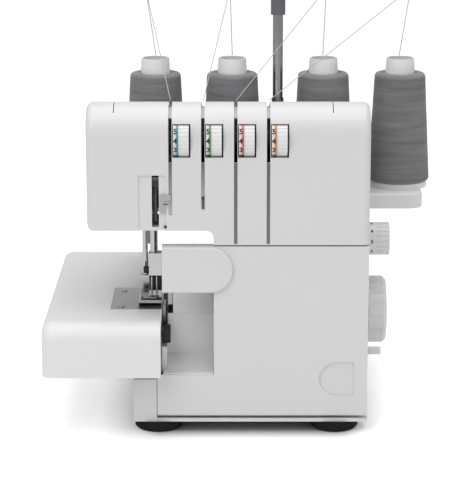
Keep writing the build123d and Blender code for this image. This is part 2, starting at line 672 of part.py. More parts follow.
# Needle plate: pressed steel with rows of feed slots and one needle slot, held by two screws
fit = NEEDLE_PLATE_FIT
needle_plate = block(NEEDLE_PLATE_LEFT + fit, PLATE_RIGHT, NEEDLE_PLATE_FRONT + fit, NEEDLE_PLATE_BACK - fit,
                     bed_under, BED_TOP)
for row in FEED_ROWS:
    half = FEED_ROW_WIDTH / 2 + FEED_SIDE_GAP
    needle_plate -= block(row - half, row + half, FEED_FRONT - FEED_SIDE_GAP, FEED_BACK + FEED_SIDE_GAP,
                          bed_under, BED_TOP)
needle_reach = NEEDLE_SPACING / 2 + NEEDLE_RADIUS + NEEDLE_SLOT_GAP
needle_slot = block(NEEDLE_X - needle_reach, NEEDLE_X + needle_reach, NEEDLE_Y - NEEDLE_SLOT_HALF,
                    NEEDLE_Y + NEEDLE_SLOT_HALF, bed_under, BED_TOP + FOOT_LIFT_GAP + FOOT_SOLE + CUT_OVER)
needle_plate -= needle_slot
pieces["needle_plate"] = needle_plate
plate_screws = []
for screw_y in (NEEDLE_PLATE_BACK - PLATE_SCREW_BACK_INSET, NEEDLE_PLATE_FRONT + PLATE_SCREW_INSET):
    plate_screws.append(rod_z(BED_TOP, BED_TOP + PLATE_SCREW_HEAD, NEEDLE_PLATE_LEFT + PLATE_SCREW_INSET,
                              screw_y, PLATE_SCREW_RADIUS))

# Looper cover: moulded front door on a rod along its foot, with the rounded nose over the knives
cover_right = BODY_RIGHT - COVER_SIDE_GAP
cover_top = SEAM_HEIGHT - SEAM
cover_foot = COVER_HINGE_Z - COVER_FOOT_DROP
nose_left = PLATE_RIGHT + NOSE_PLATE_GAP
cover_face = outline([(COVER_LEFT, cover_foot), (cover_right, cover_foot), (cover_right, cover_top),
                      (nose_left, cover_top), (nose_left, POCKET_TOP), (TOWER_LEFT, POCKET_TOP),
                      (TOWER_LEFT, POCKET_BOTTOM), (COVER_LEFT, POCKET_BOTTOM)])
cover = prism_y(cover_face, 0, COVER_WALL)
foot_edge = [e for e in edges_on(cover, Axis.Z, cover_foot).filter_by(Axis.X)
             if e.center().Y < COVER_WALL / 2]
cover = fillet(foot_edge, COVER_FOOT_ROUND)
flange_top = cover_top - COVER_WALL
flanges = [block(nose_left, cover_right, COVER_WALL, COVER_FLANGE, flange_top, cover_top),
           block(cover_right - COVER_WALL, cover_right, COVER_WALL, COVER_FLANGE, cover_foot + FLANGE_RISE,
                 flange_top),
           block(TOWER_LEFT, TOWER_LEFT + COVER_WALL, COVER_WALL, COVER_FLANGE, POCKET_BOTTOM, POCKET_TOP),
           block(nose_left, TOWER_LEFT + COVER_WALL, COVER_WALL, COVER_FLANGE, POCKET_TOP,
                 POCKET_TOP + COVER_WALL)]
nose_radius = (cover_top - POCKET_TOP) / 2
nose_mid = (cover_top + POCKET_TOP) / 2
nose_end = NOSE_RIGHT - nose_radius
nose = block(nose_left, nose_end, -NOSE_STAND, COVER_WALL, POCKET_TOP, cover_top)
nose += rod_y(-NOSE_STAND, COVER_WALL, nose_end, nose_mid, nose_radius)
nose = fillet(edges_on(nose, Axis.Y, -NOSE_STAND), NOSE_EDGE)
cover += nose
recess_end = RECESS_X - RECESS_LENGTH + RECESS_RADIUS
recess = rod_y(-CUT_OVER, RECESS_DEPTH, recess_end, RECESS_Z, RECESS_RADIUS)
recess += block(recess_end, RECESS_X, -CUT_OVER, RECESS_DEPTH, RECESS_Z - RECESS_RADIUS,
                RECESS_Z + RECESS_RADIUS)
cover -= recess
knuckles = ((COVER_LEFT + KNUCKLE_INSET, COVER_LEFT + KNUCKLE_INSET + COVER_KNUCKLE_LENGTH),
            (cover_right - KNUCKLE_INSET - COVER_KNUCKLE_LENGTH, cover_right - KNUCKLE_INSET))
cover_knuckles = []
for knuckle_left, knuckle_right in knuckles:
    knuckle = rod_x(knuckle_left, knuckle_right, COVER_HINGE_Y, COVER_HINGE_Z, COVER_KNUCKLE_RADIUS)
    knuckle += block(knuckle_left, knuckle_right, COVER_WALL, COVER_HINGE_Y,
                     COVER_HINGE_Z - COVER_KNUCKLE_RADIUS / 2, COVER_HINGE_Z + COVER_KNUCKLE_RADIUS)
    cover_knuckles.append(knuckle - rod_x(knuckle_left - CUT_OVER, knuckle_right + CUT_OVER, COVER_HINGE_Y,
                                          COVER_HINGE_Z, HINGE_ROD_RADIUS + RUN_FIT))
pieces["looper_cover"] = [cover] + flanges + cover_knuckles
pieces["looper_cover_rod"] = rod_x(knuckles[0][0], knuckles[1][1], COVER_HINGE_Y, COVER_HINGE_Z,
                                   HINGE_ROD_RADIUS)

# Waste chute: grey moulded scoop behind the pocket of the cover, fixed to the free arm
chute_left = PLATE_RIGHT + CHUTE_PLATE_GAP
chute_front = pan_step + WALL + PASS_GAP
chute_lip = POCKET_BOTTOM - CHUTE_LIP_DROP
chute_top = POCKET_TOP - CHUTE_TOP_DROP
chute_face = outline([(chute_front, chute_lip), (CHUTE_BACK - CHUTE_WALL, CHUTE_HIGH),
                      (CHUTE_BACK - CHUTE_WALL, chute_top), (CHUTE_BACK, chute_top),
                      (CHUTE_BACK, CHUTE_HIGH - CHUTE_WALL), (chute_front, chute_lip - CHUTE_WALL)])
chute = prism_x(chute_face, chute_left, TOWER_LEFT - PASS_GAP)
chute += block(arm_right, chute_left, CHUTE_BACK - CHUTE_WALL, CHUTE_BACK, CHUTE_HIGH,
               POCKET_TOP - CHUTE_TAB_DROP)
pieces["waste_chute"] = chute

# Main frame: aluminium casting, a C in the front view, with bearing ears and guide blocks
frame_back = FRAME_FRONT + FRAME_THICK
low_top = bed_under - FRAME_BED_GAP
frame_face = outline([(FRAME_LOW_LEFT, pan_floor), (FRAME_RIGHT, pan_floor), (FRAME_RIGHT, FRAME_ARM_TOP),
                      (FRAME_ARM_LEFT, FRAME_ARM_TOP), (FRAME_ARM_LEFT, FRAME_ARM_BOTTOM),
                      (FRAME_COLUMN_LEFT, FRAME_ARM_BOTTOM), (FRAME_COLUMN_LEFT, low_top),
                      (FRAME_LOW_LEFT, low_top)])
frame = prism_y(frame_face, FRAME_FRONT, frame_back)
for left, right, low, high in FRAME_WINDOWS:
    frame -= block(left, right, FRAME_FRONT - CUT_OVER, frame_back + CUT_OVER, low, high)
frame += block(FRAME_LOW_LEFT, FRAME_RIGHT, FRAME_FRONT - FRAME_FLANGE_FRONT,
               frame_back + FRAME_FLANGE_BACK, pan_floor, pan_floor + FRAME_FLANGE_THICK)
bush_radius = SHAFT_RADIUS + RUN_FIT + BUSH_WALL
for bearing_x in BEARING_X:
    frame += block(bearing_x, bearing_x + BUSH_LENGTH, SHAFT_Y - BEARING_HALF, FRAME_FRONT,
                   SHAFT_Z - BEARING_HALF, SHAFT_Z + BEARING_HALF)
frame -= rod_x(BEARING_X[0] - CUT_OVER, FRAME_RIGHT + CUT_OVER, SHAFT_Y, SHAFT_Z, bush_radius)
frame += block(GUIDE_BLOCK_LEFT, GUIDE_BLOCK_RIGHT, GUIDE_BLOCK_FRONT, FRAME_FRONT, GUIDE_BLOCK_BOTTOM,
               GUIDE_BLOCK_TOP)
frame -= rod_z(FRAME_ARM_BOTTOM, FRAME_ARM_TOP, NEEDLE_X, NEEDLE_Y, NEEDLE_BAR_RADIUS + RUN_FIT)
frame -= rod_z(FRAME_ARM_BOTTOM, FRAME_ARM_TOP, PRESSER_X, PRESSER_Y, PRESSER_BAR_RADIUS + RUN_FIT)
bracket_left = SLOT_FIRST - SPINDLE_EAR_LEFT
bracket_right = slot_x(SLOT_COUNT - 1) + SPINDLE_EAR_RIGHT
for ear_left in (bracket_left, bracket_right):
    frame += block(ear_left, ear_left + SPINDLE_EAR_WIDTH, DIAL_Y - SPINDLE_EAR_FRONT, FRAME_FRONT,
                   DIAL_Z - SPINDLE_EAR_HALF, DIAL_Z + SPINDLE_EAR_HALF)
frame -= rod_x(bracket_left - CUT_OVER, bracket_right + SPINDLE_EAR_WIDTH + CUT_OVER, DIAL_Y, DIAL_Z,
               SPINDLE_RADIUS)
for hub_x, hub_z in ((UPPER_LOOPER_X, UPPER_LOOPER_Z), (LOWER_LOOPER_X, LOWER_LOOPER_Z)):
    frame -= rod_y(FRAME_FRONT - CUT_OVER, frame_back + CUT_OVER, hub_x, hub_z, LOOPER_SHAFT_RADIUS + RUN_FIT)
frame += block(KNIFE_BOSS_LEFT, KNIFE_BOSS_RIGHT, KNIFE_PIVOT_Y - KNIFE_BOSS_HALF, FRAME_FRONT,
               KNIFE_PIVOT_Z - KNIFE_BOSS_HALF, KNIFE_PIVOT_Z + KNIFE_BOSS_HALF)
frame -= rod_x(KNIFE_BOSS_LEFT - CUT_OVER, KNIFE_BOSS_RIGHT + CUT_OVER, KNIFE_PIVOT_Y, KNIFE_PIVOT_Z,
               LOOPER_SHAFT_RADIUS + RUN_FIT)
pieces["main_frame"] = frame

# Main shaft in bronze bushes, with the belt pulley, and the handwheel on its right end
bushes = []
for bearing_x in BEARING_X:
    bush = rod_x(bearing_x, bearing_x + BUSH_LENGTH, SHAFT_Y, SHAFT_Z, bush_radius)
    bushes.append(bush - rod_x(bearing_x - CUT_OVER, bearing_x + BUSH_LENGTH + CUT_OVER, SHAFT_Y, SHAFT_Z,
                               SHAFT_RADIUS + RUN_FIT))
pieces["shaft_bushes"] = bushes
wheel_left = BODY_RIGHT + WHEEL_GAP
wheel_right = wheel_left + WHEEL_WIDTH
shaft_right = wheel_right - SHAFT_END_IN
pieces["main_shaft"] = rod_x(SHAFT_LEFT, shaft_right, SHAFT_Y, SHAFT_Z, SHAFT_RADIUS)
pulley = rod_x(PULLEY_X, PULLEY_X + PULLEY_WIDTH, SHAFT_Y, SHAFT_Z, PULLEY_RADIUS)
for flange_x in (PULLEY_X - PULLEY_FLANGE, PULLEY_X + PULLEY_WIDTH):
    pulley += rod_x(flange_x, flange_x + PULLEY_FLANGE, SHAFT_Y, SHAFT_Z, PULLEY_RADIUS + PULLEY_FLANGE)
pieces["shaft_pulley"] = pulley - rod_x(0, BODY_RIGHT, SHAFT_Y, SHAFT_Z, SHAFT_RADIUS)
wheel = rod_x(wheel_left, wheel_right, SHAFT_Y, SHAFT_Z, WHEEL_RADIUS)
wheel = chamfer(wheel.edges().filter_by(GeomType.CIRCLE), WHEEL_CROWN)
wheel -= rod_x(wheel_right - WHEEL_DISH, wheel_right + CUT_OVER, SHAFT_Y, SHAFT_Z,
               WHEEL_RADIUS * WHEEL_DISH_SHARE)
wheel += rod_x(wheel_right - WHEEL_DISH - WHEEL_HUB_STEP, wheel_right - WHEEL_HUB_STEP, SHAFT_Y, SHAFT_Z,
               WHEEL_RADIUS * WHEEL_HUB_SHARE)
for grip in range(WHEEL_GRIPS):
    angle = 2 * math.pi * grip / WHEEL_GRIPS
    reach = WHEEL_RADIUS + GRIP_RADIUS / 2
    wheel -= rod_x(wheel_left - CUT_OVER, wheel_right + CUT_OVER, SHAFT_Y + reach * math.cos(angle),
                   SHAFT_Z + reach * math.sin(angle), GRIP_RADIUS)
pieces["handwheel"] = wheel - rod_x(wheel_left - CUT_OVER, shaft_right, SHAFT_Y, SHAFT_Z, SHAFT_RADIUS)

# Motor on the pan floor, its small pulley and the drive belt
motor = rod_x(MOTOR_LEFT, MOTOR_RIGHT, MOTOR_Y, MOTOR_Z, MOTOR_RADIUS)
motor += block(MOTOR_LEFT + MOTOR_FOOT_INSET, MOTOR_RIGHT - MOTOR_FOOT_INSET, MOTOR_Y - MOTOR_RADIUS,
               MOTOR_Y + MOTOR_RADIUS, pan_floor, MOTOR_Z)
rotor_bore_left = MOTOR_LEFT + MOTOR_FOOT_INSET
pieces["motor"] = motor - rod_x(rotor_bore_left, MOTOR_RIGHT + CUT_OVER, MOTOR_Y, MOTOR_Z,
                                MOTOR_SHAFT_RADIUS + RUN_FIT)
rotor = rod_x(rotor_bore_left + ROTOR_END_GAP, PULLEY_X + PULLEY_WIDTH + ROTOR_OUT, MOTOR_Y, MOTOR_Z,
              MOTOR_SHAFT_RADIUS)
rotor += rod_x(PULLEY_X, PULLEY_X + PULLEY_WIDTH, MOTOR_Y, MOTOR_Z, MOTOR_PULLEY_RADIUS)
pieces["motor_pulley"] = rotor


def belt_outline(extra):
    """The open belt path round both pulleys, in (y, z), standing off their rims by extra."""
    big = Pos(SHAFT_Y, SHAFT_Z) * Circle(PULLEY_RADIUS + extra)
    small = Pos(MOTOR_Y, MOTOR_Z) * Circle(MOTOR_PULLEY_RADIUS + extra)
    return make_hull(big.edges() + small.edges())


belt = prism_x(belt_outline(BELT_SEAT + BELT_THICK) - belt_outline(BELT_SEAT),
               PULLEY_X + BELT_SIDE_GAP, PULLEY_X + PULLEY_WIDTH - BELT_SIDE_GAP)
pieces["drive_belt"] = belt

# Needle bar group: bar, clamp, two needles and two clamp screws
pieces["needle_bar"] = rod_z(CLAMP_TOP, NEEDLE_BAR_TOP, NEEDLE_X, NEEDLE_Y, NEEDLE_BAR_RADIUS)
clamp_half = CLAMP_WIDTH / 2
clamp_left = NEEDLE_X - CLAMP_LEFT_REACH
clamp_right = NEEDLE_X + clamp_half + CLAMP_RIGHT_EXTRA
clamp = block(clamp_left, clamp_right, NEEDLE_Y - clamp_half, NEEDLE_Y + clamp_half, CLAMP_BOTTOM, CLAMP_TOP)
pieces["needle_clamp"] = chamfer(edges_on(clamp, Axis.Z, CLAMP_BOTTOM), CLAMP_EDGE)
needles = []
for side_sign in (-1, 1):
    needle_x = NEEDLE_X + side_sign * NEEDLE_SPACING / 2
    needle = rod_z(NEEDLE_TIP + NEEDLE_POINT, CLAMP_BOTTOM, needle_x, NEEDLE_Y, NEEDLE_RADIUS)
    needle += Pos(needle_x, NEEDLE_Y, NEEDLE_TIP + NEEDLE_POINT / 2) * Cone(NEEDLE_TIP_RADIUS, NEEDLE_RADIUS,
                                                                           NEEDLE_POINT)
    needles.append(needle)
pieces["needles"] = needles
clamp_screw_z = CLAMP_BOTTOM + CLAMP_SCREW_RISE
screw_y = NEEDLE_Y - CLAMP_SCREW_FORWARD
pieces["needle_clamp_screws"] = [
    rod_x(clamp_left - CLAMP_SCREW_LENGTH, clamp_left, screw_y, clamp_screw_z, CLAMP_SCREW_RADIUS),
    rod_x(clamp_right, clamp_right + CLAMP_SCREW_LENGTH, screw_y, clamp_screw_z + CLAMP_SCREW_STEP,
          CLAMP_SCREW_RADIUS)]

# Presser bar, ankle, snap-on foot, and the lifting lever under the back of the head
pieces["presser_bar"] = rod_z(ANKLE_TOP, PRESSER_BAR_TOP, PRESSER_X, PRESSER_Y, PRESSER_BAR_RADIUS)
ankle_left = PRESSER_X - ANKLE_HALF
ankle_right = NEEDLE_X - ANKLE_NEEDLE_GAP
pieces["presser_ankle"] = block(ankle_left, ankle_right, PRESSER_Y - ANKLE_DEPTH_HALF,
                                PRESSER_Y + ANKLE_DEPTH_HALF, ANKLE_BOTTOM, ANKLE_TOP)
sole_low = BED_TOP + FOOT_LIFT_GAP
sole_top = sole_low + FOOT_SOLE
foot_left = PRESSER_X - FOOT_LEFT_REACH
foot_right = NEEDLE_X + FOOT_RIGHT_REACH
foot_face = outline([(FOOT_FRONT, sole_low + TOE_RISE), (FOOT_FRONT + TOE_LENGTH, sole_low), (FOOT_BACK,
                                                                                              sole_low),
                     (FOOT_BACK, sole_top), (FOOT_FRONT + TOE_TOP_LENGTH, sole_top), (FOOT_FRONT,
                                                                                      sole_top + TOE_RISE)])
presser_foot = prism_x(foot_face, foot_left, foot_right) - needle_slot
presser_foot += block(ankle_left, ankle_right, PRESSER_Y - FOOT_POST_HALF, PRESSER_Y + FOOT_POST_HALF,
                      sole_top, ANKLE_BOTTOM)
pieces["presser_foot"] = presser_foot
lever_left = PRESSER_X - LEVER_WIDTH / 2
lever_right = PRESSER_X + LEVER_WIDTH / 2
ear_left = lever_left - LEVER_EAR
ear_right = lever_right + LEVER_EAR
bracket_front = LEVER_PIVOT_Y - LEVER_BRACKET_HALF
bracket_back = LEVER_PIVOT_Y + LEVER_BRACKET_HALF
bracket_low = LEVER_PIVOT_Z - LEVER_BRACKET_HALF
bracket = block(ear_left, ear_right, bracket_front, bracket_back, bracket_low, HEAD_BOTTOM)
bracket -= block(lever_left - LEVER_SIDE_GAP, lever_right + LEVER_SIDE_GAP, bracket_front - CUT_OVER,
                 bracket_back + CUT_OVER, bracket_low - CUT_OVER, HEAD_BOTTOM - LEVER_WEB)
bracket -= rod_x(ear_left - CUT_OVER, ear_right + CUT_OVER, LEVER_PIVOT_Y, LEVER_PIVOT_Z,
                 LEVER_PIN_RADIUS + RUN_FIT)
pieces["lever_bracket"] = bracket
lever = Pos(PRESSER_X, LEVER_LENGTH / 2, 0) * Box(LEVER_WIDTH, LEVER_LENGTH, LEVER_THICK)
lever += Pos(PRESSER_X, 0, 0) * Rot(0, 90, 0) * Cylinder(LEVER_HUB_RADIUS, LEVER_WIDTH)
lever += Pos(PRESSER_X, 0, 0) * Rot(0, 90, 0) * Cylinder(LEVER_PIN_RADIUS, ear_right - ear_left)
pieces["presser_lever"] = Pos(0, LEVER_PIVOT_Y, LEVER_PIVOT_Z) * Rot(LEVER_REST, 0, 0) * lever

# Feed dog: toothed steel bars that rise through the needle plate
feed_top = BED_TOP - FEED_BELOW_BED
feed = block(FEED_ROWS[0] - FEED_ROW_WIDTH / 2, FEED_ROWS[-1] + FEED_ROW_WIDTH / 2, FEED_FRONT, FEED_BACK,
             FEED_POCKET_FLOOR + FEED_FLOOR_GAP, FEED_BASE_TOP)
for row in FEED_ROWS:
    feed += block(row - FEED_ROW_WIDTH / 2, row + FEED_ROW_WIDTH / 2, FEED_FRONT, FEED_BACK, FEED_BASE_TOP,
                  feed_top)
tooth_pitch = (FEED_BACK - FEED_FRONT) / FEED_TEETH
for tooth in range(FEED_TEETH):
    start = FEED_FRONT + tooth * tooth_pitch
    notch = outline([(start, feed_top + CUT_OVER), (start + tooth_pitch / 2, feed_top - TOOTH_DEPTH),
                     (start + tooth_pitch / 2, feed_top + CUT_OVER)])
    feed -= prism_x(notch, FEED_POCKET_LEFT, FEED_POCKET_RIGHT)
feed_mid = (FEED_FRONT + FEED_BACK) / 2
feed += rod_z(FEED_POCKET_FLOOR - FEED_POST_IN, FEED_POCKET_FLOOR + FEED_FLOOR_GAP, FEED_ROWS[1], feed_mid,
              FEED_POST_RADIUS)
pieces["feed_dog"] = feed
pieces["free_arm"] -= rod_z(FEED_POCKET_FLOOR - FEED_POST_IN - FEED_POST_SPARE, FEED_POCKET_FLOOR,
                            FEED_ROWS[1], feed_mid, FEED_POST_RADIUS + RUN_FIT)

# Knives: the lower blade slides with the cutting width knob, the upper one rocks beside it
blade_left = PLATE_RIGHT + BLADE_PLATE_GAP
lower_knife = block(blade_left, blade_left + BLADE_THICK, KNIFE_Y - BLADE_FRONT, KNIFE_Y + BLADE_BACK,
                    KNIFE_Z - BLADE_DROP, BED_TOP)
lower_knife += rod_x(arm_right - KNIFE_ROD_IN, blade_left, KNIFE_Y, KNIFE_Z, KNIFE_ROD_RADIUS)
pieces["lower_knife"] = lower_knife
upper_blade_left = blade_left + BLADE_THICK + BLADE_SPACE
upper_blade_right = upper_blade_left + UPPER_BLADE_THICK
knife_face = outline([(KNIFE_PIVOT_Y + y, KNIFE_PIVOT_Z + z) for y, z in KNIFE_ROOT_POINTS]
                     + [(KNIFE_Y + y, BED_TOP + z) for y, z in KNIFE_BLADE_POINTS])
upper_knife = prism_x(knife_face, upper_blade_left, upper_blade_right)
upper_knife += rod_x(upper_blade_left, upper_blade_right, KNIFE_PIVOT_Y, KNIFE_PIVOT_Z, KNIFE_HUB_RADIUS)
upper_knife += rod_x(upper_blade_left, KNIFE_BOSS_RIGHT + KNIFE_SHAFT_OUT, KNIFE_PIVOT_Y, KNIFE_PIVOT_Z,
                     LOOPER_SHAFT_RADIUS)
pieces["upper_knife_arm"] = upper_knife
knob_left = PLATE_RIGHT + PASS_GAP
knob = rod_x(knob_left, knob_left + KNOB_LENGTH, KNOB_Y, KNOB_Z, KNOB_RADIUS)
for grip in range(KNOB_GRIPS):
    angle = 2 * math.pi * grip / KNOB_GRIPS
    knob -= rod_x(knob_left - CUT_OVER, knob_left + KNOB_LENGTH + CUT_OVER,
                  KNOB_Y + KNOB_RADIUS * math.cos(angle), KNOB_Z + KNOB_RADIUS * math.sin(angle),
                  KNOB_GRIP_RADIUS)
knob += rod_x(arm_right - KNOB_STEM_IN, knob_left, KNOB_Y, KNOB_Z, KNOB_STEM_RADIUS)
pieces["cutting_width_knob"] = knob


def looper(hub_x, hub_z, tip_x, tip_z, front, thick, bow):
    """A hooked arm on a shaft along Y: a curved, tapering blade in the front view."""
    hub = Vector(hub_x, hub_z)
    tip = Vector(tip_x, tip_z)
    along = (tip - hub).normalized()
    across = Vector(along.Y, -along.X)
    middle = (hub + tip) / 2 + across * bow
    root = LOOPER_SHAFT_RADIUS
    slim = root * LOOPER_SLIM_SHARE
    inner_edge = ThreePointArc(hub - across * root, middle - across * slim, tip)
    outer_edge = ThreePointArc(tip, middle + across * slim, hub + across * root)
    blade = make_face([inner_edge, outer_edge, Line(hub + across * root, hub - across * root)])
    arm_solid = prism_y(blade, front, front + thick)
    arm_solid += rod_y(front, front + thick, hub_x, hub_z, root + LOOPER_HUB_WALL)
    return arm_solid + rod_y(front, frame_back + LOOPER_SHAFT_OUT, hub_x, hub_z, root)


pieces["upper_looper"] = looper(UPPER_LOOPER_X, UPPER_LOOPER_Z, *UPPER_LOOPER_TIP, UPPER_LOOPER_FRONT,
                                LOOPER_THICK, UPPER_LOOPER_BOW)
pieces["lower_looper"] = looper(LOWER_LOOPER_X, LOWER_LOOPER_Z, *LOWER_LOOPER_TIP, LOWER_LOOPER_FRONT,
                                LOOPER_THICK, LOWER_LOOPER_BOW)

# Tension units: ribbed thumbwheels and pairs of steel discs on one fixed spindle
spindle_right = bracket_right + SPINDLE_EAR_WIDTH
pieces["tension_spindle"] = rod_x(bracket_left, spindle_right, DIAL_Y, DIAL_Z, SPINDLE_RADIUS)
rib_notch = outline([(DIAL_RADIUS - DIAL_RIB_DEPTH, 0), (DIAL_RADIUS + DIAL_RIB_DEPTH, 2 * DIAL_RIB_HALF),
                     (DIAL_RADIUS + DIAL_RIB_DEPTH, -2 * DIAL_RIB_HALF)])
discs = []
for index in range(SLOT_COUNT):
    left = dial_left(index)
    dial = rod_x(left, left + DIAL_WIDTH, DIAL_Y, DIAL_Z, DIAL_RADIUS)
    notch = prism_x(rib_notch, left + DIAL_STRIPE, left + DIAL_WIDTH + CUT_OVER)
    dial -= [Pos(0, DIAL_Y, DIAL_Z) * Rot(360 * rib / DIAL_RIBS, 0, 0) * notch for rib in range(DIAL_RIBS)]
    dial -= rod_x(left - CUT_OVER, left + DIAL_WIDTH + CUT_OVER, DIAL_Y, DIAL_Z, SPINDLE_RADIUS + RUN_FIT)
    pieces[f"tension_dial_{index + 1}"] = dial
    for disc_left in (slot_x(index) - DISC_SPACE / 2 - DISC_THICK, slot_x(index) + DISC_SPACE / 2):
        disc = rod_x(disc_left, disc_left + DISC_THICK, DIAL_Y, DIAL_Z, DISC_RADIUS)
        discs.append(disc - rod_x(disc_left - CUT_OVER, disc_left + DISC_THICK + CUT_OVER, DIAL_Y, DIAL_Z,
                                  SPINDLE_RADIUS))
pieces["tension_discs"] = discs

# Thread guides: the bent plate beside the needle bar slot with its screw, and the take-up wire
guide_front = -GUIDE_PLATE_THICK
guide_bend = HEAD_RECESS_RIGHT - SLOT_WIDTH
guide_plate = block(GUIDE_PLATE_LEFT, guide_bend, guide_front, 0, GUIDE_PLATE_LOW, GUIDE_PLATE_HIGH)
guide_plate += block(GUIDE_PLATE_LEFT, GUIDE_PLATE_LEFT + GUIDE_TAB, 0, PANEL_DEPTH, GUIDE_PLATE_LOW,
                     GUIDE_PLATE_HIGH)
guide_plate += block(guide_bend, GUIDE_PLATE_RIGHT, guide_front, 0, GUIDE_PLATE_HIGH - GUIDE_HOOK,
                     GUIDE_PLATE_HIGH)
pieces["head_thread_guide"] = guide_plate
guide_screw = rod_y(guide_front - GUIDE_SCREW_HEAD, guide_front, (GUIDE_PLATE_LEFT + GUIDE_PLATE_RIGHT) / 2,
                    (GUIDE_PLATE_LOW + GUIDE_PLATE_HIGH) / 2, GUIDE_SCREW_RADIUS)
take_up_x = (BAR_SLOT_LEFT + BAR_SLOT_RIGHT) / 2
take_up = rod_z(TAKE_UP_LOW, TAKE_UP_HIGH, take_up_x, TAKE_UP_Y, TAKE_UP_RADIUS)
take_up += block(take_up_x - TAKE_UP_BAR_HALF, take_up_x + TAKE_UP_BAR_HALF, WALL, GUIDE_BLOCK_FRONT,
                 TAKE_UP_HIGH, TAKE_UP_BAR_TOP)
pieces["take_up_guide"] = take_up
top_guide_y = SLOT_BACK + TOP_GUIDE_GAP
top_guides = []
for index in range(SLOT_COUNT):
    x = slot_x(index)
    guide = block(-TOP_GUIDE_HALF, TOP_GUIDE_HALF, 0, TOP_GUIDE_DEPTH, 0, TOP_GUIDE_THICK)
    guide += block(-TOP_GUIDE_HALF, TOP_GUIDE_HOOK - TOP_GUIDE_HALF, 0, TOP_GUIDE_THICK, 0, TOP_GUIDE_HEIGHT)
    seat = Pos(x, top_guide_y, top_height(top_guide_y)) * Rot(-math.degrees(math.atan(TOP_FALL)), 0, 0)
    top_guides.append(seat * guide)
pieces["top_thread_guides"] = top_guides

# Controls on the right side: stitch length dial, differential feed lever, switch and power inlet
length_dial_left = BODY_RIGHT + LENGTH_DIAL_GAP
length_dial_right = BODY_RIGHT + LENGTH_DIAL_WIDTH
length_dial = rod_x(length_dial_left, length_dial_right, LENGTH_DIAL_Y, LENGTH_DIAL_Z, LENGTH_DIAL_RADIUS)
grip_reach = LENGTH_DIAL_RADIUS + LENGTH_GRIP_OUT
for grip in range(LENGTH_DIAL_GRIPS):
    angle = 2 * math.pi * grip / LENGTH_DIAL_GRIPS
    length_dial -= rod_x(BODY_RIGHT + LENGTH_DIAL_SKIRT, length_dial_right + CUT_OVER,
                         LENGTH_DIAL_Y + grip_reach * math.cos(angle),
                         LENGTH_DIAL_Z + grip_reach * math.sin(angle), LENGTH_GRIP_RADIUS)
length_dial += rod_x(tower_right - DIAL_STEM_IN, length_dial_left, LENGTH_DIAL_Y, LENGTH_DIAL_Z,
                     DIAL_STEM_RADIUS)
pieces["stitch_length_dial"] = length_dial
feed_arm_left = tower_right - FEED_ARM_THICK - FEED_ARM_GAP
feed_arm_right = feed_arm_left + FEED_ARM_THICK
feed_pin_z = FEED_LEVER_Z - FEED_LEVER_REACH
feed_lever = rod_x(feed_arm_left, feed_arm_right, FEED_LEVER_Y, FEED_LEVER_Z, FEED_HUB_RADIUS)
feed_lever += block(feed_arm_left, feed_arm_right, FEED_LEVER_Y - FEED_ARM_HALF, FEED_LEVER_Y + FEED_ARM_HALF,
                    feed_pin_z, FEED_LEVER_Z)
feed_lever += rod_x(feed_arm_left, BODY_RIGHT + FEED_PIN_OUT, FEED_LEVER_Y, feed_pin_z, FEED_PIN_RADIUS)
feed_lever -= rod_x(feed_arm_left - CUT_OVER, feed_arm_right + CUT_OVER, FEED_LEVER_Y, FEED_LEVER_Z,
                    FEED_STUD_RADIUS + RUN_FIT)
pieces["differential_feed_lever"] = feed_lever
rocker_x = BODY_RIGHT - ROCKER_IN
rocker_half = SWITCH_WIDTH / 2 - WALL
switch_front = SWITCH_Y - SWITCH_WIDTH / 2
switch_back = SWITCH_Y + SWITCH_WIDTH / 2
switch_low = SWITCH_Z - SWITCH_HEIGHT / 2
switch_high = SWITCH_Z + SWITCH_HEIGHT / 2
rocker = rod_y(SWITCH_Y - rocker_half + SWITCH_GAP, SWITCH_Y + rocker_half - SWITCH_GAP, rocker_x, SWITCH_Z,
               ROCKER_RADIUS)
rocker &= block(rocker_x - ROCKER_BACK, rocker_x + ROCKER_RADIUS + CUT_OVER, switch_front, switch_back,
                SWITCH_Z - ROCKER_HALF, SWITCH_Z + ROCKER_HALF)
rocker += rod_y(switch_front + SWITCH_PIN_INSET, switch_back - SWITCH_PIN_INSET, rocker_x, SWITCH_Z,
                SWITCH_PIN_RADIUS)
pieces["power_switch"] = rocker
bezel_left = rocker_x - BEZEL_IN
bezel_right = BODY_RIGHT + BEZEL_OUT
bezel = block(bezel_left, bezel_right, switch_front, switch_back, switch_low, switch_high)
bezel -= block(bezel_left - CUT_OVER, bezel_right + CUT_OVER, SWITCH_Y - rocker_half, SWITCH_Y + rocker_half,
               switch_low + BEZEL_LIP, switch_high - BEZEL_LIP)
bezel -= rod_y(switch_front + PIN_HOLE_INSET, switch_back - PIN_HOLE_INSET, rocker_x, SWITCH_Z,
               SWITCH_PIN_RADIUS + RUN_FIT)
pieces["switch_bezel"] = bezel
inlet_front = INLET_Y - INLET_WIDTH / 2
inlet_back = INLET_Y + INLET_WIDTH / 2
inlet_low = SWITCH_Z - INLET_HEIGHT / 2
inlet_high = SWITCH_Z + INLET_HEIGHT / 2
inlet_right = BODY_RIGHT + INLET_OUT
inlet = block(tower_right - INLET_IN, inlet_right, inlet_front, inlet_back, inlet_low, inlet_high)
inlet -= block(tower_right - INLET_SOCKET_IN, inlet_right + CUT_OVER, inlet_front + INLET_LIP,
               inlet_back - INLET_LIP, inlet_low + INLET_LIP, inlet_high - INLET_LIP)
for pin_y in (INLET_Y - INLET_PIN_SPREAD, INLET_Y + INLET_PIN_SPREAD):
    inlet += rod_x(tower_right - INLET_PIN_ROOT, BODY_RIGHT - INLET_PIN_SHORT, pin_y, SWITCH_Z,
                   INLET_PIN_RADIUS)
pieces["power_inlet"] = inlet

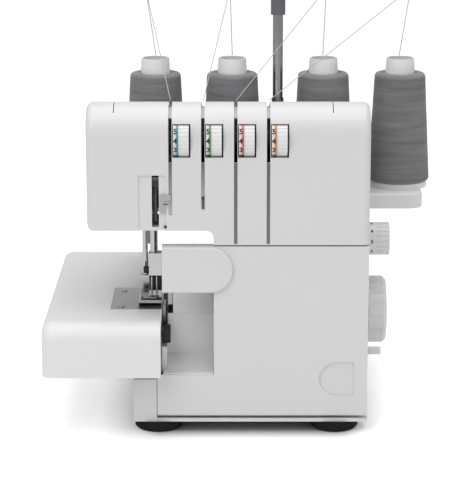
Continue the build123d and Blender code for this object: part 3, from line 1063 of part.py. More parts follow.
# Thread stand: tray on a hollow post, cone seats and pins
mast_outer = MAST_RADIUS + RUN_FIT + MAST_WALL
post = block(STAND_X - POST_WIDTH / 2, STAND_X + POST_WIDTH / 2, STAND_Y - POST_DEPTH / 2,
             STAND_Y + POST_DEPTH / 2, BED_TOP, TRAY_BOTTOM)
post = chamfer(edges_on(post, Axis.Z, TRAY_BOTTOM).filter_by(Axis.X), POST_TAPER)
post -= rod_z(BED_TOP + WALL, TRAY_BOTTOM + CUT_OVER, STAND_X, STAND_Y, mast_outer)
pieces["stand_post"] = post
tray = block(STAND_X - TRAY_HALF, STAND_X + TRAY_HALF, TRAY_FRONT, TRAY_BACK, TRAY_BOTTOM, TRAY_TOP)
tray = fillet(tray.edges().filter_by(Axis.Z), TRAY_CORNER)
tray = fillet(edges_on(tray, Axis.Z, TRAY_TOP), TRAY_EDGE)
tray_hollow = block(STAND_X - TRAY_HALF + WALL, STAND_X + TRAY_HALF - WALL, TRAY_FRONT + WALL,
                    TRAY_BACK - WALL, TRAY_BOTTOM - CUT_OVER, TRAY_TOP - WALL)
tray_hollow = fillet(tray_hollow.edges().filter_by(Axis.Z), TRAY_CORNER - WALL)
tray -= tray_hollow
tray += block(STAND_X - POST_WIDTH / 2, STAND_X + POST_WIDTH / 2, STAND_Y - POST_DEPTH / 2 + POST_TAPER,
              STAND_Y + POST_DEPTH / 2 - POST_TAPER, TRAY_BOTTOM, TRAY_TOP - WALL)
tray -= rod_z(TRAY_BOTTOM - CUT_OVER, TRAY_TOP + CUT_OVER, STAND_X, STAND_Y, mast_outer)
pieces["spool_tray"] = tray
seats = []
pins = []
cores = []
cones = []


def turned(x, points):
    """A solid of revolution about the upright line at x on the stand, from (radius, height) points."""
    profile = Plane.XZ * outline(points)
    return Pos(x, STAND_Y, 0) * revolve(profile, Axis.Z)


for cone_offset in CONE_OFFSETS:
    x = STAND_X + cone_offset
    hole = rod_z(TRAY_TOP - WALL, PIN_TOP, x, STAND_Y, PIN_RADIUS)
    seats.append(rod_z(TRAY_TOP, SEAT_TOP, x, STAND_Y, SEAT_RADIUS) - hole)
    pins.append(rod_z(TRAY_TOP, PIN_TOP, x, STAND_Y, PIN_RADIUS))
    core_solid = turned(x, [(0, SEAT_TOP), (CORE_RADIUS, SEAT_TOP), (CORE_TOP_RADIUS, CORE_TOP), (0,
                                                                                                  CORE_TOP)])
    core_bore = turned(x, [(0, SEAT_TOP), (CORE_RADIUS - CORE_WALL, SEAT_TOP),
                           (CORE_TOP_RADIUS - CORE_WALL, CORE_TOP), (0, CORE_TOP)])
    cores.append(core_solid - core_bore)
    winding = turned(x, [(0, SEAT_TOP), (CONE_RADIUS - CONE_EDGE, SEAT_TOP), (CONE_RADIUS,
                                                                              SEAT_TOP + CONE_EDGE),
                         (CONE_TOP_RADIUS, CONE_TOP - CONE_EDGE), (CONE_TOP_RADIUS - CONE_EDGE, CONE_TOP),
                         (0, CONE_TOP)])
    cones.append(winding - core_solid)
pieces["cone_seats"] = seats
pieces["spool_pins"] = pins
pieces["cone_cores"] = cores
pieces["thread_cones"] = cones

# Telescopic mast: fixed outer tube, sliding inner tube, and the bar with four thread eyes
mast_low = BED_TOP + WALL
tube = rod_z(mast_low, MAST_COLLAR_TOP, STAND_X, STAND_Y, mast_outer)
tube -= rod_z(mast_low - CUT_OVER, MAST_COLLAR_TOP + CUT_OVER, STAND_X, STAND_Y, MAST_RADIUS + RUN_FIT)
pieces["mast_outer_tube"] = tube
inner_low = MAST_COLLAR_TOP - 2 * MAST_TRAVEL + MAST_INNER_RISE
pieces["mast_inner_tube"] = rod_z(inner_low, BAR_BOTTOM, STAND_X, STAND_Y, MAST_RADIUS)
bar_half = EYE_OFFSETS[-1] + EYE_MARGIN
bar = block(STAND_X - bar_half, STAND_X + bar_half, STAND_Y - BAR_DEPTH / 2, STAND_Y + BAR_DEPTH / 2,
            BAR_BOTTOM, BAR_BOTTOM + BAR_THICK)
bar = fillet(bar.edges().filter_by(Axis.Z), BAR_DEPTH / 2 - BAR_END_FLAT)
hub = rod_z(MAST_TOP, BAR_BOTTOM, STAND_X, STAND_Y, MAST_RADIUS + BAR_HUB_WALL)
bar += hub - rod_z(MAST_TOP, BAR_BOTTOM, STAND_X, STAND_Y, MAST_RADIUS)
for eye_offset in EYE_OFFSETS:
    bar -= rod_z(BAR_BOTTOM, BAR_BOTTOM + BAR_THICK, STAND_X + eye_offset, STAND_Y, EYE_RADIUS)
pieces["thread_guide_bar"] = bar


def thread_run(start, end):
    """A taut straight thread between two points."""
    path = Line(start, end)
    return sweep(Plane(origin=start, z_dir=path % 0) * Circle(THREAD_RADIUS), path)


thread_top = BAR_BOTTOM - THREAD_END
up_runs = []
down_runs = []
for index in range(SLOT_COUNT):
    cone_x = STAND_X + CONE_OFFSETS[index]
    eye_x = STAND_X + EYE_OFFSETS[index]
    rim_y = STAND_Y + CORE_TOP_RADIUS - CORE_WALL / 2
    up_runs.append(thread_run((cone_x, rim_y, CORE_TOP + THREAD_END), (eye_x, STAND_Y + THREAD_SPREAD,
                                                                       thread_top)))
    down_runs.append(thread_run((slot_x(index), THREAD_LAND_Y, BODY_TOP + THREAD_END),
                                (eye_x, STAND_Y - THREAD_SPREAD, thread_top)))
pieces["threads_up"] = up_runs
pieces["threads_down"] = down_runs

# Screws that hold the rear cover, in one group with those of the needle plate and the head guide
cover_screws = []
screw_seat = HEAD_DEPTH + WALL
for screw_x in (HEAD_LEFT + COVER_SCREW_INSET, BODY_RIGHT - COVER_SCREW_INSET):
    for screw_z in (HEAD_BOTTOM + COVER_SCREW_INSET, panel_top - COVER_SCREW_INSET):
        cover_screws.append(rod_y(screw_seat, screw_seat + COVER_SCREW_HEAD, screw_x, screw_z,
                                  COVER_SCREW_RADIUS))
pieces["fixing_screws"] = plate_screws + [guide_screw] + cover_screws

# Place and write
everything = Compound([s for item in pieces.values() for s in (item if isinstance(item, list) else [item])])
box = everything.bounding_box()
shift = Pos(-(box.min.X + box.max.X) / 2, -(box.min.Y + box.max.Y) / 2, 0)
os.makedirs("parts", exist_ok=True)
for name, item in pieces.items():
    solids = item if isinstance(item, list) else [item]
    export_step(Compound([shift * solid for one in solids for solid in one.solids()]), f"parts/{name}.step")
print("moved by", shift.position.X, shift.position.Y)
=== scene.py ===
import math

import bmesh
import bpy
from mathutils import Matrix, Vector


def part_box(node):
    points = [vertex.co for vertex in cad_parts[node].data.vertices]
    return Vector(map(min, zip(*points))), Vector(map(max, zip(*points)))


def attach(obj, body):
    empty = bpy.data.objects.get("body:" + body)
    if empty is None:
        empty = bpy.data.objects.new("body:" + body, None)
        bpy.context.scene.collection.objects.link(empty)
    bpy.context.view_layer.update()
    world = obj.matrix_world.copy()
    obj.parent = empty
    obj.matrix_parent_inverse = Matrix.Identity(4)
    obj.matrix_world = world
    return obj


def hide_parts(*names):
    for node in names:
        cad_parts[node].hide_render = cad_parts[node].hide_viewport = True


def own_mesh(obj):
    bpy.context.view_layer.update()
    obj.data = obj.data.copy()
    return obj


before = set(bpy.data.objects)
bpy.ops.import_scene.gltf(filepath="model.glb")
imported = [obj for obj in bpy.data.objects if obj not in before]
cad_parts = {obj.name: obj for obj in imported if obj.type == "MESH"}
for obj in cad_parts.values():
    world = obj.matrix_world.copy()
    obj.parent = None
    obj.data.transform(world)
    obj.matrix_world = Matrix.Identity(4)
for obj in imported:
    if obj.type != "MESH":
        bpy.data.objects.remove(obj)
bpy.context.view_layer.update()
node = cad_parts

# Base pan: the tray that carries the castings and closes the machine from below.
# Injection moulded ABS in a warm white, polished on the outside with a trace of moulding grain.
MILLIMETRE = 0.001
HOUSING_WHITE = (0.725, 0.715, 0.722, 1)
HOUSING_SHADE = (0.70, 0.69, 0.70, 1)
COAT_ROUGHNESS = 0.12
PATCH_DETAIL = 3
GRAIN_DETAIL = 2
NOISE_MEAN = 0.5
GRAIN_INPUTS = (("Colour", "NodeSocketColor"), ("Shade", "NodeSocketColor"), ("Roughness", "NodeSocketFloat"),
                ("Roughness spread", "NodeSocketFloat"), ("Patch scale", "NodeSocketFloat"),
                ("Grain scale", "NodeSocketFloat"), ("Stretch", "NodeSocketVector"))
GRAIN_OUTPUTS = (("Colour", "NodeSocketColor"), ("Roughness", "NodeSocketFloat"),
                 ("Height", "NodeSocketFloat"))


def grain_group():
    """A node group that varies a colour and a roughness with stretched noise, and gives a fine height."""
    group = bpy.data.node_groups.new("surface_grain", "ShaderNodeTree")
    for side, sockets in (("INPUT", GRAIN_INPUTS), ("OUTPUT", GRAIN_OUTPUTS)):
        for label, kind in sockets:
            group.interface.new_socket(label, in_out=side, socket_type=kind)
    nodes = group.nodes
    link = group.links.new
    source = nodes.new("NodeGroupInput")
    place = nodes.new("ShaderNodeTexCoord")
    stretch = nodes.new("ShaderNodeVectorMath")
    stretch.operation = "MULTIPLY"
    link(place.outputs["Object"], stretch.inputs[0])
    link(source.outputs["Stretch"], stretch.inputs[1])
    noise = {}
    for label, detail in (("Patch scale", PATCH_DETAIL), ("Grain scale", GRAIN_DETAIL)):
        texture = nodes.new("ShaderNodeTexNoise")
        texture.inputs["Detail"].default_value = detail
        link(stretch.outputs["Vector"], texture.inputs["Vector"])
        link(source.outputs[label], texture.inputs["Scale"])
        noise[label] = texture.outputs["Fac"]
    tint = nodes.new("ShaderNodeMix")
    tint.data_type = "RGBA"
    link(noise["Patch scale"], tint.inputs["Factor"])
    link(source.outputs["Colour"], tint.inputs["A"])
    link(source.outputs["Shade"], tint.inputs["B"])
    centred = nodes.new("ShaderNodeMath")
    centred.operation = "SUBTRACT"
    centred.inputs[1].default_value = NOISE_MEAN
    link(noise["Grain scale"], centred.inputs[0])
    rough = nodes.new("ShaderNodeMath")
    rough.operation = "MULTIPLY_ADD"
    link(centred.outputs["Value"], rough.inputs[0])
    link(source.outputs["Roughness spread"], rough.inputs[1])
    link(source.outputs["Roughness"], rough.inputs[2])
    sink = nodes.new("NodeGroupOutput")
    link(tint.outputs["Result"], sink.inputs["Colour"])
    link(rough.outputs["Value"], sink.inputs["Roughness"])
    link(noise["Grain scale"], sink.inputs["Height"])
    return group


surface_grain = grain_group()


def finish(name, colour, shade, roughness, metallic=0.0, spread=0.1, patch=12.0, grain=900.0,
           stretch=(1, 1, 1), bump=0.05, depth=0.00002, coat=0.0):
    """A surface finish: one Principled shader fed by the shared grain group."""
    material = bpy.data.materials.new(name)
    material.use_nodes = True
    tree = material.node_tree
    shader = tree.nodes["Principled BSDF"]
    shader.inputs["Metallic"].default_value = metallic
    shader.inputs["Coat Weight"].default_value = coat
    shader.inputs["Coat Roughness"].default_value = COAT_ROUGHNESS
    surface = tree.nodes.new("ShaderNodeGroup")
    surface.node_tree = surface_grain
    for label, value in (("Colour", colour), ("Shade", shade), ("Roughness", roughness),
                         ("Roughness spread", spread), ("Patch scale", patch), ("Grain scale", grain),
                         ("Stretch", stretch)):
        surface.inputs[label].default_value = value
    relief = tree.nodes.new("ShaderNodeBump")
    relief.inputs["Strength"].default_value = bump
    relief.inputs["Distance"].default_value = depth
    tree.links.new(surface.outputs["Colour"], shader.inputs["Base Color"])
    tree.links.new(surface.outputs["Roughness"], shader.inputs["Roughness"])
    tree.links.new(surface.outputs["Height"], relief.inputs["Height"])
    tree.links.new(relief.outputs["Normal"], shader.inputs["Normal"])
    return material


def paint(material, *names):
    """Give CAD pieces a finish."""
    for name in names:
        slots = node[name].data.materials
        slots.clear()
        slots.append(material)


housing_plastic = finish("housing_plastic", HOUSING_WHITE, HOUSING_SHADE, roughness=0.32, spread=0.04,
                         bump=0.02, coat=0.2)
paint(housing_plastic, "base_pan")

# Rubber feet and drive belt.
# Soft black rubber, moulded dull, with a bloom of grey on the worn skin.
RUBBER_BLACK = (0.006, 0.006, 0.007, 1)
RUBBER_BLOOM = (0.014, 0.014, 0.015, 1)
RUBBER_SHINE = 0.2
foot_rubber = finish("foot_rubber", RUBBER_BLACK, RUBBER_BLOOM, roughness=0.75, patch=60.0, bump=0.2,
                     depth=0.00005)
foot_rubber.node_tree.nodes["Principled BSDF"].inputs["Specular IOR Level"].default_value = RUBBER_SHINE
paint(foot_rubber, "foot_pads", "drive_belt")

# Castings: main frame, free arm and the motor's body.
# Pressure die cast aluminium, left as cast with a coarse silvery grain, and bolted to the pan.
CAST_LIGHT = (0.52, 0.53, 0.54, 1)
CAST_DARK = (0.42, 0.43, 0.44, 1)
cast_alloy = finish("cast_alloy", CAST_LIGHT, CAST_DARK, roughness=0.5, metallic=0.85, grain=700.0, bump=0.3,
                    depth=0.0001)
paint(cast_alloy, "main_frame", "free_arm", "motor")

# Shaft bushes: two plain bearings of sintered bronze.
# Turned, dark with oil, and pressed into the ears of the main frame.
BRONZE_LIGHT = (0.45, 0.30, 0.14, 1)
BRONZE_DARK = (0.33, 0.21, 0.10, 1)
oiled_bronze = finish("oiled_bronze", BRONZE_LIGHT, BRONZE_DARK, roughness=0.4, metallic=1.0)
paint(oiled_bronze, "shaft_bushes")

# Ground steel: needle plate, feed dog, knives, loopers, guides, screws, shaft, motor pulley and rod.
# Stamped or milled steel, ground along one way, so that fine scratches run from left to right.
STEEL_LIGHT = (0.56, 0.56, 0.57, 1)
STEEL_DARK = (0.44, 0.44, 0.45, 1)
STEEL_SCRATCHES = (0.15, 3.0, 1.0)
ground_steel = finish("ground_steel", STEEL_LIGHT, STEEL_DARK, roughness=0.34, metallic=1.0, grain=500.0,
                      stretch=STEEL_SCRATCHES, bump=0.12, depth=0.00004)
paint(ground_steel, "needle_plate", "feed_dog", "lower_knife", "upper_knife_arm", "upper_looper",
      "lower_looper", "fixing_screws", "head_thread_guide", "top_thread_guides", "main_shaft", "motor_pulley",
      "looper_cover_rod")

# Grey mouldings: lifting lever and its bracket, switch bezel and belt pulley.
# Glass filled nylon in mid grey, satin from the mould.
GREY_LIGHT = (0.40, 0.405, 0.41, 1)
GREY_DARK = (0.34, 0.345, 0.35, 1)
grey_nylon = finish("grey_nylon", GREY_LIGHT, GREY_DARK, roughness=0.5, patch=40.0, bump=0.15)
paint(grey_nylon, "presser_lever", "lever_bracket", "switch_bezel", "shaft_pulley")

# Black mouldings: cutting width knob, power switch, inlet, clamp screws and spool pins.
# Satin black nylon, slightly greyed where fingers rub it.
BLACK_DEEP = (0.015, 0.015, 0.016, 1)
BLACK_RUBBED = (0.03, 0.03, 0.031, 1)
black_nylon = finish("black_nylon", BLACK_DEEP, BLACK_RUBBED, roughness=0.42, patch=80.0, bump=0.1)
paint(black_nylon, "cutting_width_knob", "power_switch", "power_inlet", "needle_clamp_screws", "spool_pins")

# Tension discs and their spindle: pressed steel discs deep in the slots.
# Made near black so that the slots read dark: painted shade for the inside of the slots.
DISC_SHADE_BLACK = (0.03, 0.03, 0.032, 1)
DISC_SHADE_GREY = (0.06, 0.06, 0.062, 1)
blackened_steel = finish("blackened_steel", DISC_SHADE_BLACK, DISC_SHADE_GREY, roughness=0.4, metallic=0.6, patch=200.0)
paint(blackened_steel, "tension_discs", "tension_spindle")

# Chromed steel: needle bar, clamp and needles, presser bar, ankle and foot, and the telescopic mast.
# Hard chrome on steel; the mast tubes get a darker copy of it, standing for the dark surroundings they
# reflect: painted reflection.
CHROME_LIGHT = (0.62, 0.62, 0.63, 1)
CHROME_DARK = (0.52, 0.52, 0.53, 1)
MAST_DIMMED_LIGHT = (0.40, 0.40, 0.41, 1)
MAST_DIMMED_DARK = (0.30, 0.30, 0.31, 1)
bright_chrome = finish("bright_chrome", CHROME_LIGHT, CHROME_DARK, roughness=0.14, metallic=1.0, spread=0.05,
                       bump=0.02)
mast_dimmed_chrome = finish("mast_dimmed_chrome", MAST_DIMMED_LIGHT, MAST_DIMMED_DARK, roughness=0.08, metallic=1.0, spread=0.05,
                     bump=0.02)
paint(bright_chrome, "needle_bar", "needles", "presser_bar", "needle_clamp", "presser_foot", "presser_ankle")
paint(mast_dimmed_chrome, "mast_outer_tube", "mast_inner_tube")

# Presser foot shank, toe pad and toe bar: blackened steel behind the needles, a black pad and a chromed bar.
# The black shank and pad stand for the shade behind the needles and round the toe: painted shade.
# The shank is screwed to the ankle, and the pad is let into the chromed sole with the bar across it.
DRAWING_ORIGIN = Vector((10.0, 107.5, 0.0))
SHANK_LOW = (-75.9, 69.0, 111.2)
SHANK_HIGH = (-64.6, 71.0, 125.5)
PAD_LOW = (-82.5, 36.6, 110.8)
PAD_HIGH = (-66.2, 46.0, 111.5)
TOE_BAR_LOW = (-80.0, 39.0, 111.4)
TOE_BAR_HIGH = (-68.6, 41.4, 112.6)
SHANK_EDGE = 0.3
CUBE_HALF = 0.5
EDGE_STEPS = 2
EDGE_PROFILE = 0.5


def drawn(place):
    """A point of the drawing, in millimetres from the front of the housing, as a place in the frame."""
    return (Vector(place) - DRAWING_ORIGIN) * MILLIMETRE


def rounded_block(bm, low, high, edge):
    """Add a block between two corners of the drawing, with all its edges rounded."""
    corner = drawn(low)
    span = drawn(high) - corner
    corners = bmesh.ops.create_cube(bm, size=2 * CUBE_HALF)["verts"]
    for vert in corners:
        vert.co = corner + Vector([(along + CUBE_HALF) * width for along, width in zip(vert.co, span)])
    edges = list(dict.fromkeys(side for vert in corners for side in vert.link_edges))
    bmesh.ops.bevel(bm, geom=edges, offset=edge * MILLIMETRE, segments=EDGE_STEPS, profile=EDGE_PROFILE,
                    affect="EDGES")


def piece_from(name, bm, material, body):
    """Turn a bmesh into a finished piece that rides on a body."""
    mesh = bpy.data.meshes.new(name)
    bm.to_mesh(mesh)
    bm.free()
    mesh.materials.append(material)
    made = bpy.data.objects.new(name, mesh)
    bpy.context.scene.collection.objects.link(made)
    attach(made, body)
    return made


def blocks_piece(name, corner_pairs, edge, material, body):
    """A piece made of one or more rounded blocks."""
    bm = bmesh.new()
    for low, high in corner_pairs:
        rounded_block(bm, low, high, edge)
    piece_from(name, bm, material, body)


blocks_piece("presser_shank", [(SHANK_LOW, SHANK_HIGH), (PAD_LOW, PAD_HIGH)], SHANK_EDGE, blackened_steel,
             "presser")
blocks_piece("presser_toe_bar", [(TOE_BAR_LOW, TOE_BAR_HIGH)], SHANK_EDGE, bright_chrome, "presser")

# Take-up guide and thread guide bar: smoke grey nylon that the threads run through.
# The take-up guide stands behind the slot beside the needle bar and has a black clip on its front.
SMOKE_LIGHT = (0.15, 0.145, 0.16, 1)
SMOKE_DARK = (0.11, 0.105, 0.12, 1)
CLIP_LOW = (-69.9, 1.5, 221.5)
CLIP_HIGH = (-64.6, 3.0, 227.0)
CLIP_EDGE = 0.3
smoke_nylon = finish("smoke_nylon", SMOKE_LIGHT, SMOKE_DARK, roughness=0.4, patch=60.0, bump=0.1)
paint(smoke_nylon, "take_up_guide", "thread_guide_bar")
blocks_piece("take_up_clip", [(CLIP_LOW, CLIP_HIGH)], CLIP_EDGE, black_nylon, "machine")

# Housing shells: upper cover, rear cover, side cover, looper cover and cloth plate.
# Moulded in the same ABS as the base pan, with the plate a little paler. They are screwed on, with thin
# dark seams between them, apart from the looper cover, which swings on its rod.
PLATE_WHITE = (0.82, 0.81, 0.815, 1)
PLATE_SHADE = (0.79, 0.78, 0.785, 1)
plate_plastic = finish("plate_plastic", PLATE_WHITE, PLATE_SHADE, roughness=0.34, spread=0.02, bump=0.01,
                       coat=0.15)
paint(housing_plastic, "upper_cover", "rear_cover", "right_side_cover", "looper_cover")
paint(plate_plastic, "cloth_plate")

# Waste pocket: chute, its upper guard, left cheek and knife shield, and the lip of the looper cover.
# Given a brighter white than the housing, to lift the shade deep in the pocket: painted light;
# guard and cheek clip on the chute, the shield on the frame.
POCKET_LIFTED_WHITE = (0.88, 0.87, 0.875, 1)
POCKET_LIFTED_TONE = (0.84, 0.83, 0.835, 1)
GUARD_LOW = (-53.6, 38.0, 98.0)
GUARD_HIGH = (-17.6, 40.0, 125.0)
CHEEK_LOW = (-63.2, 16.0, 49.5)
CHEEK_HIGH = (-58.5, 37.8, 73.5)
SHIELD_LOW = (-62.8, 100.0, 60.0)
SHIELD_HIGH = (-58.3, 102.0, 101.5)
POCKET_LIP_LOW = (-61.8, 2.5, 51.0)
POCKET_LIP_HIGH = (-17.2, 14.8, 53.0)
POCKET_EDGE = 0.4
pocket_lightened_plastic = finish("pocket_lightened_plastic", POCKET_LIFTED_WHITE, POCKET_LIFTED_TONE, roughness=0.4, spread=0.04, patch=30.0,
                        bump=0.02)
paint(pocket_lightened_plastic, "waste_chute")
blocks_piece("waste_guard", [(GUARD_LOW, GUARD_HIGH), (CHEEK_LOW, CHEEK_HIGH), (SHIELD_LOW, SHIELD_HIGH)],
             POCKET_EDGE, pocket_lightened_plastic, "machine")
blocks_piece("pocket_lip", [(POCKET_LIP_LOW, POCKET_LIP_HIGH)], POCKET_EDGE, pocket_lightened_plastic, "looper_cover")

# Vent screen: a black sheet clipped inside the rear cover behind its vents,
# standing for the shade inside the machine: painted shade.
# Pressed from thin blackened steel, with rounded edges; it keeps light from showing through the slots.
SCREEN_LOW = (-100.0, 143.4, 194.0)
SCREEN_HIGH = (110.0, 144.4, 252.0)
SCREEN_EDGE = 0.3
SHADE_SHEET_BLACK = (0.012, 0.012, 0.013, 1)
SHADE_SHEET_GREY = (0.02, 0.02, 0.021, 1)
vent_shade_sheet = finish("vent_shade_sheet", SHADE_SHEET_BLACK, SHADE_SHEET_GREY, roughness=0.7, patch=300.0, bump=0.3)
blocks_piece("vent_screen", [(SCREEN_LOW, SCREEN_HIGH)], SCREEN_EDGE, vent_shade_sheet, "machine")

# Groove shade strips: dark strips laid in the four grooves below the slots, as painted shade for the grooves.
# They sit on the floor of each groove and darken towards the top; the two short ones start paler at their
# foot.
SLOT_PLACES = (-54.2, -25.9, 2.4, 30.7)
SHADE_STRIP_ENDS = (197.4, 202.4, 171.4, 171.4)
SHADE_STRIP_TOP = 242.8
SHADE_STRIP_HALF = 1.4
SHADE_STRIP_FRONT = 0.85
SHADE_STRIP_BACK = 1.15
SHADE_STRIP_EDGE = 0.1
GROOVE_SHADE_DARK = (0.16, 0.152, 0.16, 1)
GROOVE_SHADE_MID = (0.21, 0.20, 0.21, 1)
GROOVE_SHADE_PALE = (0.52, 0.51, 0.52, 1)
SHADE_FOOT_COLOURS = (GROOVE_SHADE_PALE, GROOVE_SHADE_PALE, GROOVE_SHADE_MID, GROOVE_SHADE_MID)


def shade_along(material, axis, start, end, stops):
    """Colour a finish along one axis from start to end with the stops of a ramp."""
    tree = material.node_tree
    place = tree.nodes.new("ShaderNodeTexCoord")
    axes = tree.nodes.new("ShaderNodeSeparateXYZ")
    share = tree.nodes.new("ShaderNodeMapRange")
    share.inputs["From Min"].default_value = start
    share.inputs["From Max"].default_value = end
    ramp = tree.nodes.new("ShaderNodeValToRGB")
    marks = ramp.color_ramp.elements
    while len(marks) < len(stops):
        marks.new(1.0)
    for mark, (where, colour) in zip(marks, stops):
        mark.position = where
        mark.color = colour
    tree.links.new(place.outputs["Object"], axes.inputs["Vector"])
    tree.links.new(axes.outputs[axis], share.inputs["Value"])
    tree.links.new(share.outputs["Result"], ramp.inputs["Fac"])
    tree.links.new(ramp.outputs["Color"], tree.nodes["Principled BSDF"].inputs["Base Color"])


grooves = zip(SLOT_PLACES, SHADE_STRIP_ENDS, SHADE_FOOT_COLOURS)
for number, (slot_place, strip_end, foot_colour) in enumerate(grooves, start=1):
    groove_shade = finish(f"groove_shade_paint_{number}", GROOVE_SHADE_DARK, GROOVE_SHADE_MID, roughness=0.9, bump=0.2)
    shade_along(groove_shade, "Z", strip_end * MILLIMETRE, SHADE_STRIP_TOP * MILLIMETRE,
                ((0, foot_colour), (1, GROOVE_SHADE_DARK)))
    strip_low = (slot_place - SHADE_STRIP_HALF, SHADE_STRIP_FRONT, strip_end)
    strip_high = (slot_place + SHADE_STRIP_HALF, SHADE_STRIP_BACK, SHADE_STRIP_TOP)
    blocks_piece(f"groove_shade_strip_{number}", [(strip_low, strip_high)], SHADE_STRIP_EDGE, groove_shade, "machine")

# Window lips: a thin white strip across the top of each dial window, with a black strip along its foot
# that stands for the shadow of the gap under the lip: painted shadow.
# Both are moulded in one with a clip behind the upper cover, and follow its rounded front edge.
LIP_LEFT = 2.1
LIP_RIGHT = 17.5
LIP_TOP = 279.7
LIP_FOOT = 276.7
GAP_SHADOW_FOOT = 276.0
LIP_THICK = 0.5
GAP_SHADOW_THICK = 0.28
FRONT_ROUND = 25.0
ROUND_HEIGHT = 267.0
LIP_STEPS = 6
# The black strip's finish: painted shadow.
gap_shadow_black = finish("gap_shadow_black", SHADE_SHEET_BLACK, SHADE_SHEET_GREY, roughness=0.7, patch=60.0)


def skin(bm, rings, closed=False, smooth=False):
    """Join each ring of points to the next with faces; a closed set joins up, an open one gets end faces."""
    following = rings[1:] + rings[:1] if closed else rings[1:]
    for ring, after in zip(rings, following):
        for spot in range(len(ring)):
            beside = (spot + 1) % len(ring)
            bm.faces.new((ring[spot], ring[beside], after[beside], after[spot])).smooth = smooth
    if not closed:
        bm.faces.new(rings[0])
        bm.faces.new(rings[-1])
    bmesh.ops.recalc_face_normals(bm, faces=bm.faces)


def front_strip(bm, left, right, low, high, thick):
    """A strip that lies in the rounded front edge of the cover, from one height to another."""
    outer = []
    inner = []
    for step in range(LIP_STEPS + 1):
        height = low + (high - low) * step / LIP_STEPS
        angle = math.asin((height - ROUND_HEIGHT) / FRONT_ROUND)
        for line, reach in ((outer, FRONT_ROUND), (inner, FRONT_ROUND - thick)):
            line.append((FRONT_ROUND - reach * math.cos(angle), ROUND_HEIGHT + reach * math.sin(angle)))
    section = outer + inner[::-1]
    skin(bm, [[bm.verts.new(drawn((along, depth, height))) for depth, height in section]
              for along in (left, right)])


lips = bmesh.new()
gap_shadows = bmesh.new()
for slot_place in SLOT_PLACES:
    front_strip(lips, slot_place + LIP_LEFT, slot_place + LIP_RIGHT, LIP_FOOT, LIP_TOP, LIP_THICK)
    front_strip(gap_shadows, slot_place + LIP_LEFT, slot_place + LIP_RIGHT, GAP_SHADOW_FOOT, LIP_FOOT, GAP_SHADOW_THICK)
piece_from("window_lips", lips, housing_plastic, "machine")
piece_from("window_gap_shadows", gap_shadows, gap_shadow_black, "machine")

# Small details of the head front: the slot in the guide screw, a hole, and a pin in the second groove.
# The slot and hole are black pieces that stand for the shade in them: painted shade; the pin is turned steel,
# stands at the end of the groove and ends in a ball.
SCREW_FACE = Vector((-58.5, -1.8, 207.0))
SCREW_SLOT_HALF = Vector((2.1, 0.1125, 0.45))
SCREW_SLOT_EDGE = 0.05625
HOLE_MIDDLE = Vector((-58.7, -0.375, 186.6))
HOLE_RADIUS = 1.3
HOLE_DEPTH = 0.45
PIN_FOOT = Vector((-25.9, -0.3, 202.6))
PIN_RADIUS = 0.55
PIN_HEIGHT = Vector((0, 0, 9.6))
BALL_RADIUS = 1.25
BALL_RINGS = 10
ROD_SIDES = 32
TO_FRONT = Matrix.Rotation(math.radians(90), 4, "X")


def rod(bm, middle, radius, length, turn):
    """Add a round rod about a point of the drawing, upright before it is turned."""
    bmesh.ops.create_cone(bm, cap_ends=True, segments=ROD_SIDES, radius1=radius * MILLIMETRE,
                          radius2=radius * MILLIMETRE, depth=length * MILLIMETRE,
                          matrix=Matrix.Translation(drawn(middle)) @ turn)


slot_hole_shade = bmesh.new()
rounded_block(slot_hole_shade, SCREW_FACE - SCREW_SLOT_HALF, SCREW_FACE + SCREW_SLOT_HALF, SCREW_SLOT_EDGE)
rod(slot_hole_shade, HOLE_MIDDLE, HOLE_RADIUS, HOLE_DEPTH, TO_FRONT)
piece_from("head_shade_marks", slot_hole_shade, black_nylon, "machine")
groove_pin = bmesh.new()
rod(groove_pin, PIN_FOOT + PIN_HEIGHT / 2, PIN_RADIUS, PIN_HEIGHT.z, Matrix.Identity(4))
bmesh.ops.create_uvsphere(groove_pin, u_segments=ROD_SIDES, v_segments=BALL_RINGS,
                          radius=BALL_RADIUS * MILLIMETRE,
                          matrix=Matrix.Translation(drawn(PIN_FOOT + PIN_HEIGHT)))
piece_from("groove_pin", groove_pin, blackened_steel, "machine")

# Stand tray and post, handwheel, stitch length dial and feed lever.
# The same white ABS as the housing with a slightly duller texture from handling.
CONTROL_WHITE = (0.78, 0.78, 0.785, 1)
CONTROL_SHADE = (0.72, 0.72, 0.725, 1)
control_plastic = finish("control_plastic", CONTROL_WHITE, CONTROL_SHADE, roughness=0.38, patch=30.0,
                         coat=0.1)
paint(control_plastic, "spool_tray", "stand_post", "handwheel", "stitch_length_dial",
      "differential_feed_lever")

# Tension dials: four ribbed thumbwheels in near white plastic.
# Each has a smooth printed band along its left edge: black numbers on white, then a stripe of colour
# that fades out over the ribs. The band is a thin sleeve pressed on the wheel.
DIAL_WHITE = (0.80, 0.79, 0.795, 1)
DIAL_PALES = {"blue": (0.58, 0.72, 0.76, 1), "green": (0.62, 0.72, 0.60, 1),
              "red": (0.76, 0.62, 0.61, 1), "orange": (0.78, 0.67, 0.54, 1)}
STRIPE_COLOURS = {"blue": (0.09, 0.25, 0.36, 1), "green": (0.10, 0.24, 0.12, 1),
                  "red": (0.45, 0.13, 0.14, 1), "orange": (0.52, 0.24, 0.09, 1)}
RING_WIDTH = 4.3 * MILLIMETRE
RING_THICK = 0.3 * MILLIMETRE
RING_STAND = 0.06 * MILLIMETRE
RING_SIDES = 96
STRIPE_START = 0.45
STRIPE_FULL = 0.72
TINT_SHARE = 0.22
DIAL_SHADOW_START = 0.93
DIAL_SHADOW_FULL = 0.94
DIGITS = "0123456789"
DIGIT_HEIGHT = 6.6 * MILLIMETRE
DIGIT_WEIGHT = 0.2 * MILLIMETRE
DIGIT_STAND = 0.05 * MILLIMETRE
